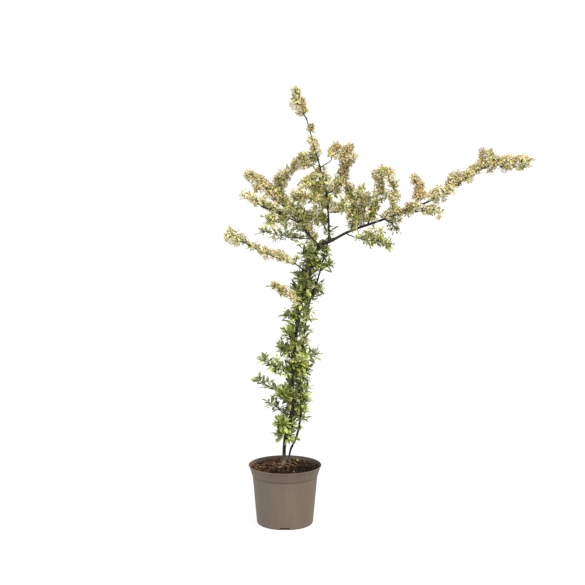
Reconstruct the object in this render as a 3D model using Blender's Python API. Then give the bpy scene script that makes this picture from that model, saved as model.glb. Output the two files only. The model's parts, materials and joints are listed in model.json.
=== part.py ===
"""A firethorn shrub in flower, in its round nursery pot, in metres with +Z up.

The origin is the middle of the pot's flat underside. The front of the shrub faces -Y, and its long
bough reaches towards +X. The limbs are round tapering tubes. Every spray is one fused solid: a
three-sided stem with its leaves and its flower heads, grown by one seeded rule.
"""

import math
import random

import bmesh
import bpy
from mathutils import Matrix, Vector
from mathutils.bvhtree import BVHTree

MM = 0.001
UP = Vector((0, 0, 1))

# Pot, turned about the Z axis
POT_HEIGHT = 157 * MM
POT_RIM_RADIUS = 95 * MM
POT_COLLAR_RADIUS = 86 * MM
POT_COLLAR_HEIGHT = 31 * MM
POT_STEP = 1.5 * MM
POT_BASE_RADIUS = 73 * MM
POT_CORNER = 6 * MM
POT_LIP = 2.4 * MM
POT_WALL = 1.8 * MM
POT_FLOOR = 2.5 * MM
POT_SIDES = 32
POT_CORNER_STEPS = 3
COLLAR_FLARE = 1.3
COLLAR_STEPS = (0.35, 0.7)
DRAIN_HOLES = 4
DRAIN_WIDTH = 26 * MM
DRAIN_HEIGHT = 7 * MM
DRAIN_DEPTH = 14 * MM

# Compost, filled to a little below the rim
COMPOST_LEVEL = 152 * MM
COMPOST_EDGE_DROP = 5 * MM
COMPOST_PLATEAU = 58 * MM
COMPOST_LUMP = 1.6 * MM
COMPOST_SIDES = 24

# Clearances between solids that touch on the real plant
GAP = 0.3 * MM
NEARLY = 0.9
SPACE = 0.5 * MM
CUT_STEPS = 200

# Limbs: the limb that bears each one (a stem stands in the compost), the radius of its foot and of
# its tip, and the points that it bends through, all in millimetres
LIMB_SIDES = 6
RING_STEP = 30 * MM
CURVE_STEPS = 12
FLARE_HEIGHT = 24 * MM
FLARE_RADIUS = 5.5 * MM
FLARE_RINGS = 3
STANDS = "compost"
LIMBS = {
    "main_stem": (
        STANDS,
        (4.6, 3.9),
        [(-3, 30, 152.3), (0, 20, 218), (16, 10, 286), (21, 4, 381), (26, 6, 473), (40, 4, 575)]
        + [(62, 0, 651), (80, 0, 715), (93, 0, 737), (120, 0, 746)],
    ),
    "second_stem": (
        STANDS,
        (2.9, 2.0),
        [(10, 42, 152.3), (14, 38, 185), (32, 35, 229), (40, 30, 282), (42, 27, 376), (48, 24, 483)]
        + [(62, 18, 576), (84, 15, 642), (110, 2, 742)],
    ),
    "right_bough": (
        "main_stem",
        (3.6, 1.7),
        [(120, 0, 746), (166, -6, 771), (239, -20, 799), (291, -35, 821), (375, -50, 859)]
        + [(435, -50, 898), (488, -45, 932)],
    ),
    "leader": (
        "main_stem",
        (2.9, 1.5),
        [(113, 2, 744), (111, 12, 807), (106, 16, 866), (88, 12, 938), (67, 0, 1013), (55, -6, 1057)],
    ),
    "upright_twig": ("right_bough", (2.1, 1.6), [(179, -8, 776), (174, 20, 822), (163, 48, 866)]),
    "arch_twig": ("leader", (1.8, 1.5), [(85, 11, 949), (62, 30, 956), (41, 50, 949)]),
    "left_upper": ("main_stem", (2.9, 1.6), [(88, 0, 731), (46, 20, 775), (8, 50, 815), (-30, 76, 848)]),
    "left_lower": ("left_upper", (2.1, 1.6), [(34, 28, 788), (1, -30, 812), (-57, -80, 844)]),
    "left_low": ("main_stem", (2.0, 1.6), [(64, 0, 656), (28, -20, 688), (12, -32, 694)]),
}
JOINS = {"second_stem": "main_stem"}

# Sprays: limb, place along it (1 is its tip), reach in millimetres from there to the spray's own
# tip, how far the middle bows out, and the kind of growth
SPRAYS = {
    "top_spike": ("leader", 1, (-28, -14, 67), (-2, 0, -6), "blossom"),
    "leader_posy": ("leader", 0.9, (4, -8, 9), (0, 0, 0), "posy"),
    "leader_cluster": ("leader", 0.7, (-13, -22, 34), (0, 0, 0), "blossom"),
    "head_left": ("leader", 0.59, (38, 37, 45), (8, 0, -6), "blossom"),
    "head_right": ("upright_twig", 1, (-6, 37, 104), (-12, 0, 0), "blossom"),
    "mid_right": ("leader", 0.31, (36, -86, 40), (0, 0, -8), "mixed"),
    "side_shoot": ("leader", 0.17, (38, -100, 38), (4, 0, -10), "mixed"),
    "inner_upper": ("leader", 0.5, (-52, -95, -4), (0, 0, 8), "mixed"),
    "inner_middle": ("leader", 0.3, (-86, -130, 29), (0, -8, 6), "mixed"),
    "inner_lower": ("leader", 0.15, (-100, 90, 15), (0, 10, 0), "mixed"),
    "arch_spray": ("arch_twig", 1, (-58, 34, -56), (6, 6, 0), "blossom"),
    "left_upright": ("left_upper", 0.8, (-10, 62, 63), (-8, 0, 0), "blossom"),
    "left_upper_spray": ("left_upper", 1, (-62, 50, 50), (0, 0, 3), "blossom"),
    "left_lower_spray": ("left_lower", 1, (-40, -36, 31), (0, 0, 3), "blossom"),
    "left_leafy": ("left_lower", 0.46, (-40, -62, 1), (0, 0, -5), "leafy"),
    "left_thin_shoot": ("left_upper", 0.17, (-120, 36, 10), (0, 0, -6), "leafy"),
    "left_low_spray": ("left_low", 1, (-144, -80, 79), (0, 0, -4), "blossom"),
    "left_short_spray": ("main_stem", 0.69, (-67, -60, 56), (0, 0, 0), "blossom"),
    "bough_blossom": ("right_bough", 0.355, (66, -52, 37), (0, -8, 2), "blossom"),
    "bough_underside": ("right_bough", 0.48, (76, -56, 14), (0, 0, -2), "blossom"),
    "bough_upright": ("right_bough", 0.57, (-5, 34, 65), (9, 0, 0), "blossom"),
    "bough_outer": ("right_bough", 0.64, (49, -40, 32), (0, -4, 3), "blossom"),
    "bough_far": ("right_bough", 0.78, (66, 30, 42), (-2, 4, 4), "blossom"),
    "bough_tip": ("right_bough", 1, (119, -15, 24), (0, 0, 8), "blossom"),
    "left_leg": ("right_bough", 0.25, (28, -26, 135), (6, 0, 0), "mixed"),
    "right_leg": ("right_bough", 0.405, (-16, -34, 116), (12, -8, 2), "mixed"),
    "leg_leafy": ("right_bough", 0.22, (-9, 48, 73), (4, 8, 0), "mixed"),
    "bough_foot": ("right_bough", 0.14, (-1, -46, 25), (0, 0, 0), "leafy"),
    "drooping_spur": ("right_bough", 0.355, (25, 14, -23), (4, 0, 0), "leafy"),
    "hanging_shoot": ("right_bough", 0.1, (102, -110, -11), (0, 0, -6), "leafy"),
    "rear_spray": ("leader", 0.24, (-30, 190, 44), (-8, 0, 10), "mixed"),
    "rear_low_spray": ("main_stem", 0.74, (21, 150, 119), (0, 0, -12), "mixed"),
    "hub_tuft": ("main_stem", 0.87, (-20, -30, 28), (0, 0, 0), "leafy"),
    "stem_right_upper": ("second_stem", 0.88, (15, -20, 12), (0, 0, 0), "leafy"),
    "stem_right_middle": ("second_stem", 0.76, (15, 22, 10), (0, 0, 0), "leafy"),
    "stem_left_upper": ("main_stem", 0.78, (-18, 22, 15), (0, 0, 0), "leafy"),
    "stem_left_middle": ("main_stem", 0.71, (-17, 30, 19), (0, 0, 0), "leafy"),
    "stem_left_lower": ("main_stem", 0.62, (-23, 10, 11), (0, 0, 2), "leafy"),
    "stem_left_foot": ("main_stem", 0.54, (-22, -24, 20), (0, 0, 0), "leafy"),
    "leaf_tuft": ("main_stem", 0.46, (-30, 14, 25), (0, 0, 0), "leafy"),
    "left_shoot_upper": ("main_stem", 0.4, (-74, -30, 40), (0, 0, -6), "leafy"),
    "left_shoot_lower": ("main_stem", 0.3, (-83, 24, 35), (0, 0, -4), "leafy"),
    "bright_tuft": ("second_stem", 0.4, (-2, -44, 47), (0, 0, 0), "leafy"),
    "thorn_shoot": ("second_stem", 0.47, (31, 22, 8), (0, 0, 0), "leafy"),
    "middle_tuft": ("main_stem", 0.27, (-25, -34, 33), (0, 0, 0), "leafy"),
    "right_tuft": ("second_stem", 0.26, (8, -22, 27), (0, 0, 0), "leafy"),
    "zigzag_shoot": ("main_stem", 0.22, (-50, -9, 32), (0, 0, -6), "leafy"),
    "basal_tuft": ("main_stem", 0.14, (-17, -26, 29), (0, 0, 0), "leafy"),
}

# Each kind of growth: distance between nodes, share of nodes that bear a flower head, leaves on a
# node without one, leaf length, leaf width and flower head radius, all lengths in millimetres
KINDS = {
    "blossom": (17, 0.92, 1, (20, 26), 9.0, (9.5, 13.0)),
    "posy": (9, 0.85, 1, (12, 16), 7.0, (5.5, 7.0)),
    "mixed": (18, 0.55, 2, (24, 30), 10.0, (8.5, 11.0)),
    "leafy": (17.5, 0.0, 2, (26, 34), 11.0, (8.0, 10.0)),
}
STEM_RADIUS = 1.6 * MM
STEM_TIP_RADIUS = 1.2 * MM
STEM_STEP = 26 * MM
KNEE_SHARE = 0.06
LIFTS = [lift * MM for lift in (4, 7, 10, 13, 17)]
FORKED = "head_right"
FORK_PLACE = 0.42
FORK_REACH = (23, -30, 44)

# How nodes, leaves and heads are set: turns in radians, and shares of a length or of a direction
GOLDEN_TURN = math.radians(137.5)
TURN_JITTER = 0.4
NODE_JITTER = 0.2
FIRST_NODE = 0.6
HEAD_LEAN = 0.4
RISE = 0.3
HEAD_UNEVEN = (0.86, 1.16)
HEAD_FLATTENING = 0.85
HEAD_STRETCH = 1.15
HEAD_SINK = 0.55
HEAD_LEAF_SHARE = 0.35
LEAF_LEAN = 0.8
TIP_LEAF_LEAN = 1.2
LEAF_RISE = 0.2
LEAF_SPREAD_JITTER = 0.15
LEAF_THICKNESS = 0.045
LEAF_WIDEST = 0.45
LEAF_ROOT = 1.4 * MM

# Material: base colour (linear), roughness, metallic. What grows shares one list of materials, so
# that a fused spray keeps the colours of its pieces.
MATERIALS = {
    "moulded_polypropylene": ((0.205, 0.165, 0.130), 0.55, 0.0),
    "bark_compost": ((0.045, 0.020, 0.012), 0.95, 0.0),
    "firethorn_bark": ((0.050, 0.036, 0.028), 0.80, 0.0),
    "firethorn_leaf": ((0.145, 0.225, 0.030), 0.50, 0.0),
    "firethorn_blossom": ((0.680, 0.560, 0.330), 0.75, 0.0),
}
GROWN = ["firethorn_bark", "firethorn_leaf", "firethorn_blossom"]


def clear_scene():
    """Starts from an empty scene, whatever was open."""
    for thing in list(bpy.data.objects):
        bpy.data.objects.remove(thing)


def material(name):
    """One plain Principled material for each thing that the shrub and its pot are made of."""
    found = bpy.data.materials.get(name)
    if found:
        return found
    colour, roughness, metallic = MATERIALS[name]
    made = bpy.data.materials.new(name)
    made.use_nodes = True
    shader = made.node_tree.nodes["Principled BSDF"]
    shader.inputs["Base Color"].default_value = (*colour, 1.0)
    shader.inputs["Roughness"].default_value = roughness
    shader.inputs["Metallic"].default_value = metallic
    return made


def to_object(name, bm, stuff):
    """Turns a bmesh into an object of one material, with its faces facing out."""
    bmesh.ops.recalc_face_normals(bm, faces=bm.faces)
    slots = GROWN if stuff in GROWN else [stuff]
    for face in bm.faces:
        face.material_index = slots.index(stuff)
    mesh = bpy.data.meshes.new(name)
    bm.to_mesh(mesh)
    bm.free()
    for slot in slots:
        mesh.materials.append(material(slot))
    thing = bpy.data.objects.new(name, mesh)
    bpy.context.collection.objects.link(thing)
    return thing


def apply_boolean(thing, operation, collection, solver):
    """Applies one Boolean with every object of a collection, then removes the collection."""
    modifier = thing.modifiers.new("Boolean", "BOOLEAN")
    modifier.operation = operation
    modifier.operand_type = "COLLECTION"
    modifier.collection = collection
    modifier.solver = solver
    evaluated = thing.evaluated_get(bpy.context.evaluated_depsgraph_get())
    mesh = bpy.data.meshes.new_from_object(evaluated)
    thing.modifiers.clear()
    thing.data = mesh
    for other in list(collection.objects):
        bpy.data.objects.remove(other)
    bpy.data.collections.remove(collection)


def turned(name, profile, stuff, sides):
    """Turns a closed profile of (radius, height) about Z; points on the axis close it."""
    bm = bmesh.new()
    rings = []
    for radius, height in profile:
        if radius == 0:
            rings.append([bm.verts.new((0, 0, height))])
            continue
        turns = (2 * math.pi * step / sides for step in range(sides))
        rings.append([bm.verts.new((radius * math.cos(a), radius * math.sin(a), height)) for a in turns])
    for lower, upper in zip(rings, rings[1:]):
        for step in range(sides):
            following = (step + 1) % sides
            corners = [
                lower[step % len(lower)],
                lower[following % len(lower)],
                upper[following % len(upper)],
                upper[step % len(upper)],
            ]
            bm.faces.new(list(dict.fromkeys(corners)))
    return to_object(name, bm, stuff)


def body_radius(height):
    """The pot wall's outer radius below the collar, a straight taper."""
    collar_foot = POT_HEIGHT - POT_COLLAR_HEIGHT
    share = height / collar_foot
    return POT_BASE_RADIUS + (POT_COLLAR_RADIUS - POT_STEP - POT_BASE_RADIUS) * share


def collar_radius(share):
    """The collar flares slowly at its foot and faster towards the lip."""
    return POT_COLLAR_RADIUS + (POT_RIM_RADIUS - POT_LIP / 2 - POT_COLLAR_RADIUS) * share**COLLAR_FLARE


def pot_profile():
    """The shell's section: up the outer side, over the lip and down the inner side to the floor."""
    collar_foot = POT_HEIGHT - POT_COLLAR_HEIGHT
    outer = [(0, 0)]
    for step in range(POT_CORNER_STEPS + 1):
        turn = math.pi / 2 * step / POT_CORNER_STEPS
        inset = POT_CORNER * (1 - math.sin(turn))
        outer.append((body_radius(POT_CORNER) - inset, POT_CORNER * (1 - math.cos(turn))))
    outer.append((body_radius(collar_foot), collar_foot))
    outer.append((POT_COLLAR_RADIUS, collar_foot + POT_STEP))
    for share in COLLAR_STEPS:
        outer.append((collar_radius(share), collar_foot + POT_COLLAR_HEIGHT * share))
    outer.append((POT_RIM_RADIUS, POT_HEIGHT - POT_LIP))
    outer.append((POT_RIM_RADIUS, POT_HEIGHT - POT_LIP / 3))
    outer.append((POT_RIM_RADIUS - POT_LIP / 3, POT_HEIGHT))
    inner = [
        (POT_RIM_RADIUS - POT_LIP, POT_HEIGHT),
        (collar_radius(COLLAR_STEPS[-1]) - POT_WALL, collar_foot + POT_COLLAR_HEIGHT * COLLAR_STEPS[-1]),
        (POT_COLLAR_RADIUS - POT_WALL, collar_foot),
        (body_radius(POT_CORNER) - POT_WALL, POT_CORNER),
        (body_radius(POT_CORNER) - POT_CORNER, POT_FLOOR),
        (0, POT_FLOOR),
    ]
    return outer + inner


def make_pot():
    """The pot, with drainage slots cut through its bottom corner."""
    pot = turned("pot", pot_profile(), "moulded_polypropylene", POT_SIDES)
    slots = bpy.data.collections.new("slots")
    bpy.context.scene.collection.children.link(slots)
    for step in range(DRAIN_HOLES):
        turn = 2 * math.pi * step / DRAIN_HOLES + math.pi / 2
        bm = bmesh.new()
        bmesh.ops.create_cube(bm, size=1)
        size = Matrix.Diagonal((DRAIN_DEPTH, DRAIN_WIDTH, 2 * DRAIN_HEIGHT, 1))
        place = Matrix.Rotation(turn, 4, "Z") @ Matrix.Translation((POT_BASE_RADIUS, 0, 0))
        bmesh.ops.transform(bm, matrix=place @ size, verts=bm.verts)
        slot = to_object("slot", bm, "moulded_polypropylene")
        bpy.context.collection.objects.unlink(slot)
        slots.objects.link(slot)
    apply_boolean(pot, "DIFFERENCE", slots, "EXACT")
    pot.data.shade_smooth()


def make_compost():
    """The compost fills the pot to a flat middle, where the stems stand, and drops to its edge."""
    collar_foot = POT_HEIGHT - POT_COLLAR_HEIGHT
    edge_level = COMPOST_LEVEL - COMPOST_EDGE_DROP
    collar_top = COLLAR_STEPS[-1]
    share = (edge_level - collar_foot) / POT_COLLAR_HEIGHT / collar_top
    inside = POT_COLLAR_RADIUS + (collar_radius(collar_top) - POT_COLLAR_RADIUS) * share
    edge = inside - POT_WALL - SPACE
    middle = (COMPOST_PLATEAU + edge) / 2
    profile = [
        (0, POT_FLOOR + SPACE),
        (body_radius(POT_CORNER) - POT_CORNER - SPACE, POT_FLOOR + SPACE),
        (body_radius(POT_CORNER) - POT_WALL - SPACE, POT_CORNER),
        (POT_COLLAR_RADIUS - POT_WALL - SPACE, collar_foot),
        (edge, edge_level),
        (middle, COMPOST_LEVEL - COMPOST_EDGE_DROP / 2),
        (COMPOST_PLATEAU, COMPOST_LEVEL),
        (0, COMPOST_LEVEL),
    ]
    compost = turned("compost", profile, "bark_compost", COMPOST_SIDES)
    rng = random.Random("compost")
    for vertex in compost.data.vertices:
        if vertex.co.z > edge_level + SPACE and vertex.co.xy.length > COMPOST_PLATEAU + SPACE:
            vertex.co.z += rng.uniform(-COMPOST_LUMP, COMPOST_LUMP)
    return compost


def smooth_path(points, step):
    """A Catmull-Rom curve through the points, read at even steps along its length."""
    ends = [points[0] * 2 - points[1], *points, points[-1] * 2 - points[-2]]
    fine = []
    for a, b, c, d in zip(ends, ends[1:], ends[2:], ends[3:]):
        for share in (index / CURVE_STEPS for index in range(CURVE_STEPS)):
            fine.append(
                0.5
                * (
                    2 * b
                    + (c - a) * share
                    + (2 * a - 5 * b + 4 * c - d) * share**2
                    + (3 * b - a - 3 * c + d) * share**3
                )
            )
    fine.append(points[-1])
    lengths = [0.0]
    for before, after in zip(fine, fine[1:]):
        lengths.append(lengths[-1] + (after - before).length)
    count = max(2, round(lengths[-1] / step))
    return [point_at(fine, lengths, lengths[-1] * index / count) for index in range(count + 1)]


def point_at(points, lengths, wanted):
    """The point a given length along a polyline."""
    for index in range(1, len(points)):
        if lengths[index] >= wanted:
            span = max(lengths[index] - lengths[index - 1], 1e-9)
            return points[index - 1].lerp(points[index], (wanted - lengths[index - 1]) / span)
    return points[-1].copy()


def along(path, share):
    """The point and direction a share of the way along a path of even steps."""
    place = min(max(share, 0), 1) * (len(path) - 1)
    index = min(int(place), len(path) - 2)
    return path[index].lerp(path[index + 1], place - index), (path[index + 1] - path[index]).normalized()


def sideways(direction):
    """Any unit vector square to a direction, turned as little as possible from the horizontal."""
    side = direction.cross(UP)
    if side.length < 0.05:
        side = direction.cross(Vector((0, 1, 0)))
    return side.normalized()


def tube(path, radii, sides):
    """A closed tube along a path, as a bmesh, its rings carried without twist."""
    bm = bmesh.new()
    rings = []
    side = None
    for index, point in enumerate(path):
        before = path[max(index - 1, 0)]
        after = path[min(index + 1, len(path) - 1)]
        direction = (after - before).normalized()
        side = sideways(direction) if side is None else (side - direction * side.dot(direction)).normalized()
        other = direction.cross(side)
        ring = []
        for step in range(sides):
            turn = 2 * math.pi * step / sides
            offset = side * math.cos(turn) + other * math.sin(turn)
            ring.append(bm.verts.new(point + offset * radii[index]))
        rings.append(ring)
    for lower, upper in zip(rings, rings[1:]):
        for step in range(sides):
            following = (step + 1) % sides
            bm.faces.new((lower[step], lower[following], upper[following], upper[step]))
    bm.faces.new(rings[0][::-1])
    bm.faces.new(rings[-1])
    bmesh.ops.triangulate(bm, faces=bm.faces)
    return bm


def tree_of(bm):
    """The search tree of a bmesh."""
    bm.faces.ensure_lookup_table()
    return BVHTree.FromBMesh(bm)


def tree_of_object(thing):
    """The search tree of an object whose place is in its mesh."""
    bm = bmesh.new()
    bm.from_mesh(thing.data)
    tree = tree_of(bm)
    bm.free()
    return tree


def probes(bm):
    """Points spread over a small mesh: its corners, edge middles and face middles."""
    points = [vertex.co.copy() for vertex in bm.verts]
    points += [(edge.verts[0].co + edge.verts[1].co) / 2 for edge in bm.edges]
    points += [face.calc_center_median() for face in bm.faces]
    return points


def is_clear(bm, obstacles, space=SPACE):
    """Whether a mesh crosses none of the obstacles and keeps its distance from them all."""
    own = tree_of(bm)
    points = probes(bm)
    for tree in obstacles:
        if own.overlap(tree):
            return False
        if any(tree.find_nearest(point, space)[0] is not None for point in points):
            return False
    return True


def start_clear(path, radius, sides, tree):
    """Cuts back a path's first step until the tube that begins there stands clear by the gap."""
    first, second = path[0], path[1]
    direction = (second - first).normalized()
    side = sideways(direction)
    other = direction.cross(side)
    turns = [2 * math.pi * index / sides for index in range(sides)]
    offsets = [(side * math.cos(turn) + other * math.sin(turn)) * radius for turn in turns]
    offsets += [(before + after) / 2 for before, after in zip(offsets, offsets[1:] + offsets[:1])]
    offsets.append(Vector())
    for step in range(CUT_STEPS):
        start = first.lerp(second, step / CUT_STEPS)
        nearest = min(tree.find_nearest(start + offset)[3] for offset in offsets)
        if nearest >= GAP and not tree_holds(tree, start):
            return [start, *path[1:]]
    return path[1:]


def tree_holds(tree, point):
    """Whether a point lies inside a closed mesh, told by the side of its nearest face."""
    place, normal, _, _ = tree.find_nearest(point)
    return (point - place).dot(normal) < 0


def limb_path(name):
    """A limb's middle line."""
    points = [Vector(point) * MM for point in LIMBS[name][2]]
    return smooth_path(points, RING_STEP)


def limb_radius(name, share):
    """A limb's radius a share of the way up it."""
    foot, tip = LIMBS[name][1]
    return (foot + (tip - foot) * share) * MM


def flare(height):
    """How much the spread of the roots adds to the main stem's radius near the compost."""
    return FLARE_RADIUS * max(0, 1 - height / FLARE_HEIGHT) ** 2


def standing_limb(name):
    """The rings of a stem that stands in the compost, closer together where its foot spreads."""
    path = limb_path(name)
    count = len(path) - 1
    low_rings = [index / FLARE_RINGS for index in range(FLARE_RINGS)]
    shares = [low * FLARE_HEIGHT / (count * RING_STEP) for low in low_rings]
    shares += [index / count for index in range(1, count + 1)]
    radii = [limb_radius(name, share) for share in shares]
    if name == "main_stem":
        radii = [radius + flare(share * count * RING_STEP) for radius, share in zip(radii, shares)]
    return [along(path, share)[0] for share in shares], radii


def borne_limb(name, trees):
    """The rings of a bough, which begins just clear of the limb that bears it."""
    path = start_clear(limb_path(name), limb_radius(name, 0), LIMB_SIDES, trees[LIMBS[name][0]])
    return path, [limb_radius(name, index / (len(path) - 1)) for index in range(len(path))]


def make_limb(name, trees):
    """One round tapering limb, cut flat at the compost if it stands there."""
    stands = LIMBS[name][0] == STANDS
    path, radii = standing_limb(name) if stands else borne_limb(name, trees)
    if name in JOINS:
        path = start_clear(path[::-1], radii[-1], LIMB_SIDES, trees[JOINS[name]])[::-1]
    bm = tube(path, radii, LIMB_SIDES)
    if stands:
        bm.verts.ensure_lookup_table()
        for vertex in bm.verts[:LIMB_SIDES]:
            vertex.co.z = path[0].z
    trees[name] = tree_of(bm)
    limb = to_object(name, bm, "firethorn_bark")
    limb.data.shade_smooth()


def spray_stem(name, lift):
    """A spray's own stem: out from its limb by the lift, through the bowed middle to its tip."""
    limb, share, reach, bow, _ = SPRAYS[name]
    foot, direction = along(limb_path(limb), share)
    reach = Vector(reach) * MM
    middle = foot + reach / 2 + Vector(bow) * MM
    if share == 1:
        return smooth_path([foot + direction * GAP, middle, foot + reach], STEM_STEP)
    out = (reach - direction * reach.dot(direction)).normalized()
    knee = foot + out * (limb_radius(limb, share) + lift) + reach * KNEE_SHARE
    return smooth_path([foot, knee, middle, foot + reach], STEM_STEP)


def clear_stem(name, trees):
    """A spray's stem that starts clear of its limb and is lifted until it stays clear of it."""
    limb = SPRAYS[name][0]
    for lift in LIFTS:
        path = start_clear(spray_stem(name, lift), STEM_RADIUS, 3, trees[limb])
        stem = stem_tube(path)
        touches = not is_clear(stem, [trees[limb]], GAP * NEARLY)
        stem.free()
        if not touches:
            break
    return path


def stem_tube(path):
    """The three-sided tapering stem of a spray."""
    last = len(path) - 1
    radii = [STEM_RADIUS + (STEM_TIP_RADIUS - STEM_RADIUS) * index / last for index in range(last + 1)]
    return tube(path, radii, 3)


def grow(name, path):
    """The seeded rule: nodes turn round a spray's stem by the golden angle, and each one bears
    leaves, a flower head or both. A node is (place, lean, leaves, head), a leaf is (root, blade,
    face, length, width) and a head is its radius, or nothing.
    """
    step, head_share, leaf_count, leaf_length, leaf_width, head_size = KINDS[SPRAYS[name][4]]
    rng = random.Random(name)
    total = sum((after - before).length for before, after in zip(path, path[1:]))
    count = max(2, round(total / (step * MM)))
    turn = rng.uniform(0, 2 * math.pi)
    nodes = []
    for index in range(count + 1):
        is_tip = index == count
        jitter = rng.uniform(-NODE_JITTER, NODE_JITTER)
        share = 1.0 if is_tip else (index + FIRST_NODE + jitter) / (count + FIRST_NODE / 2)
        place, direction = along(path, share)
        turn += GOLDEN_TURN + rng.uniform(-TURN_JITTER, TURN_JITTER)
        side = sideways(direction)
        other = direction.cross(side)
        out = side * math.cos(turn) + other * math.sin(turn)
        lit = Vector((out.x, out.y, abs(out.z)))
        lean = direction if is_tip else (lit + direction * HEAD_LEAN + UP * RISE).normalized()
        bears_head = rng.random() < head_share
        head_radius = rng.uniform(*head_size) * MM
        bears_leaf = rng.random() < HEAD_LEAF_SHARE
        leaves = []
        for leaf in range(int(bears_leaf) if bears_head else leaf_count + is_tip):
            jitter = rng.uniform(-LEAF_SPREAD_JITTER, LEAF_SPREAD_JITTER)
            spread = turn + 2 * math.pi * (leaf + jitter) / (leaf_count + is_tip)
            fan = side * math.cos(spread) + other * math.sin(spread)
            forward = direction * (TIP_LEAF_LEAN if is_tip else LEAF_LEAN)
            blade = (forward + fan + UP * LEAF_RISE).normalized()
            size = rng.uniform(*leaf_length) * MM
            face = (blade.cross(UP).cross(blade) + fan * RISE).normalized()
            leaves.append((place, blade, face, size, leaf_width * size / leaf_length[1]))
        nodes.append((place, lean, leaves, head_radius if bears_head else None))
    return nodes


def leaf_mesh(root, blade, face, length, width):
    """A leaf of six faces: flat below, with a raised midrib above, its root sunk in the stem."""
    bm = bmesh.new()
    across = blade.cross(face).normalized()
    widest = root + blade * length * LEAF_WIDEST
    back = bm.verts.new(root - blade * LEAF_ROOT)
    tip = bm.verts.new(root + blade * length)
    left = bm.verts.new(widest + across * width / 2)
    right = bm.verts.new(widest - across * width / 2)
    ridge = bm.verts.new(widest + face * length * LEAF_THICKNESS)
    for end in (back, tip):
        bm.faces.new((end, left, ridge))
        bm.faces.new((end, ridge, right))
        bm.faces.new((end, right, left))
    bmesh.ops.recalc_face_normals(bm, faces=bm.faces)
    return bm


def head_mesh(place, lean, radius, seed):
    """A domed flower head: a flattened ball of twenty faces with uneven corners."""
    bm = bmesh.new()
    bmesh.ops.create_icosphere(bm, subdivisions=1, radius=radius)
    rng = random.Random(seed)
    for vertex in bm.verts:
        vertex.co *= rng.uniform(*HEAD_UNEVEN)
        vertex.co.z *= HEAD_FLATTENING
        vertex.co.y *= HEAD_STRETCH
    turn = lean.to_track_quat("Z", "Y").to_matrix().to_4x4()
    moved = Matrix.Translation(place + lean * radius * HEAD_SINK) @ turn
    bmesh.ops.transform(bm, matrix=moved, verts=bm.verts)
    return bm


def node_pieces(name, path):
    """The leaves and flower heads of every node along a stem, each with its material."""
    pieces = []
    for number, (place, lean, leaves, head) in enumerate(grow(name, path)):
        pieces += [(leaf_mesh(*leaf), "firethorn_leaf") for leaf in leaves]
        if head:
            pieces.append((head_mesh(place, lean, head, f"{name} {number}"), "firethorn_blossom"))
    return pieces


def spray_pieces(name, path, obstacles):
    """The small closed meshes that a spray is fused from, without those that would touch others."""
    pieces = node_pieces(name, path)
    if name == FORKED:
        start, _ = along(path, FORK_PLACE)
        fork = smooth_path([start, start + Vector(FORK_REACH) * MM], STEM_STEP)
        pieces.append((stem_tube(fork), "firethorn_bark"))
        pieces += node_pieces(name, fork)
    return [(piece, stuff) for piece, stuff in pieces if is_clear(piece, obstacles)]


def keep_one_body(thing):
    """Drops loose scraps and sealed hollows: only the largest shell stays."""
    bm = bmesh.new()
    bm.from_mesh(thing.data)
    unseen = set(bm.verts)
    shells = []
    while unseen:
        shell = set()
        stack = [next(iter(unseen))]
        while stack:
            vertex = stack.pop()
            if vertex in shell:
                continue
            shell.add(vertex)
            stack.extend(edge.other_vert(vertex) for edge in vertex.link_edges)
        unseen -= shell
        shells.append(shell)
    largest = max(shells, key=len)
    bmesh.ops.delete(bm, geom=[vertex for vertex in bm.verts if vertex not in largest], context="VERTS")
    bmesh.ops.triangulate(bm, faces=bm.faces)
    bm.to_mesh(thing.data)
    bm.free()


def make_spray(name, path, trees):
    """One spray, fused from its stem and pieces by a single union."""
    obstacles = [tree for other, tree in trees.items() if other != name]
    spray = to_object(name, stem_tube(path), "firethorn_bark")
    parts = bpy.data.collections.new(name)
    bpy.context.scene.collection.children.link(parts)
    for piece, stuff in spray_pieces(name, path, obstacles):
        thing = to_object("piece", piece, stuff)
        bpy.context.collection.objects.unlink(thing)
        parts.objects.link(thing)
    apply_boolean(spray, "UNION", parts, "MANIFOLD")
    keep_one_body(spray)
    trees[name] = tree_of_object(spray)


def make_shrub():
    """The pot and compost first, then the limbs, then every stem, then the sprays round them."""
    clear_scene()
    make_pot()
    trees = {STANDS: tree_of_object(make_compost())}
    for name in LIMBS:
        make_limb(name, trees)
    stems = {}
    for name in SPRAYS:
        stems[name] = clear_stem(name, trees)
        stem = stem_tube(stems[name])
        trees[name] = tree_of(stem)
        stem.free()
    for name, path in stems.items():
        make_spray(name, path, trees)


make_shrub()
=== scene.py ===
"""A potted firethorn shrub in flower: its bark, leaves, blossom, pot and compost.

Metres, with +Z up and the origin in the middle of the pot's flat underside. The front of the shrub
faces -Y and its long bough reaches towards +X. The limbs and sprays are those of the solids, grown by
the same seeded rule, which goes on here to side twigs, thorns, small leaves and single flowers.
"""

import json
import math
import random

import bmesh
import bpy
import numpy as np
from mathutils import Matrix, Vector, noise

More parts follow.
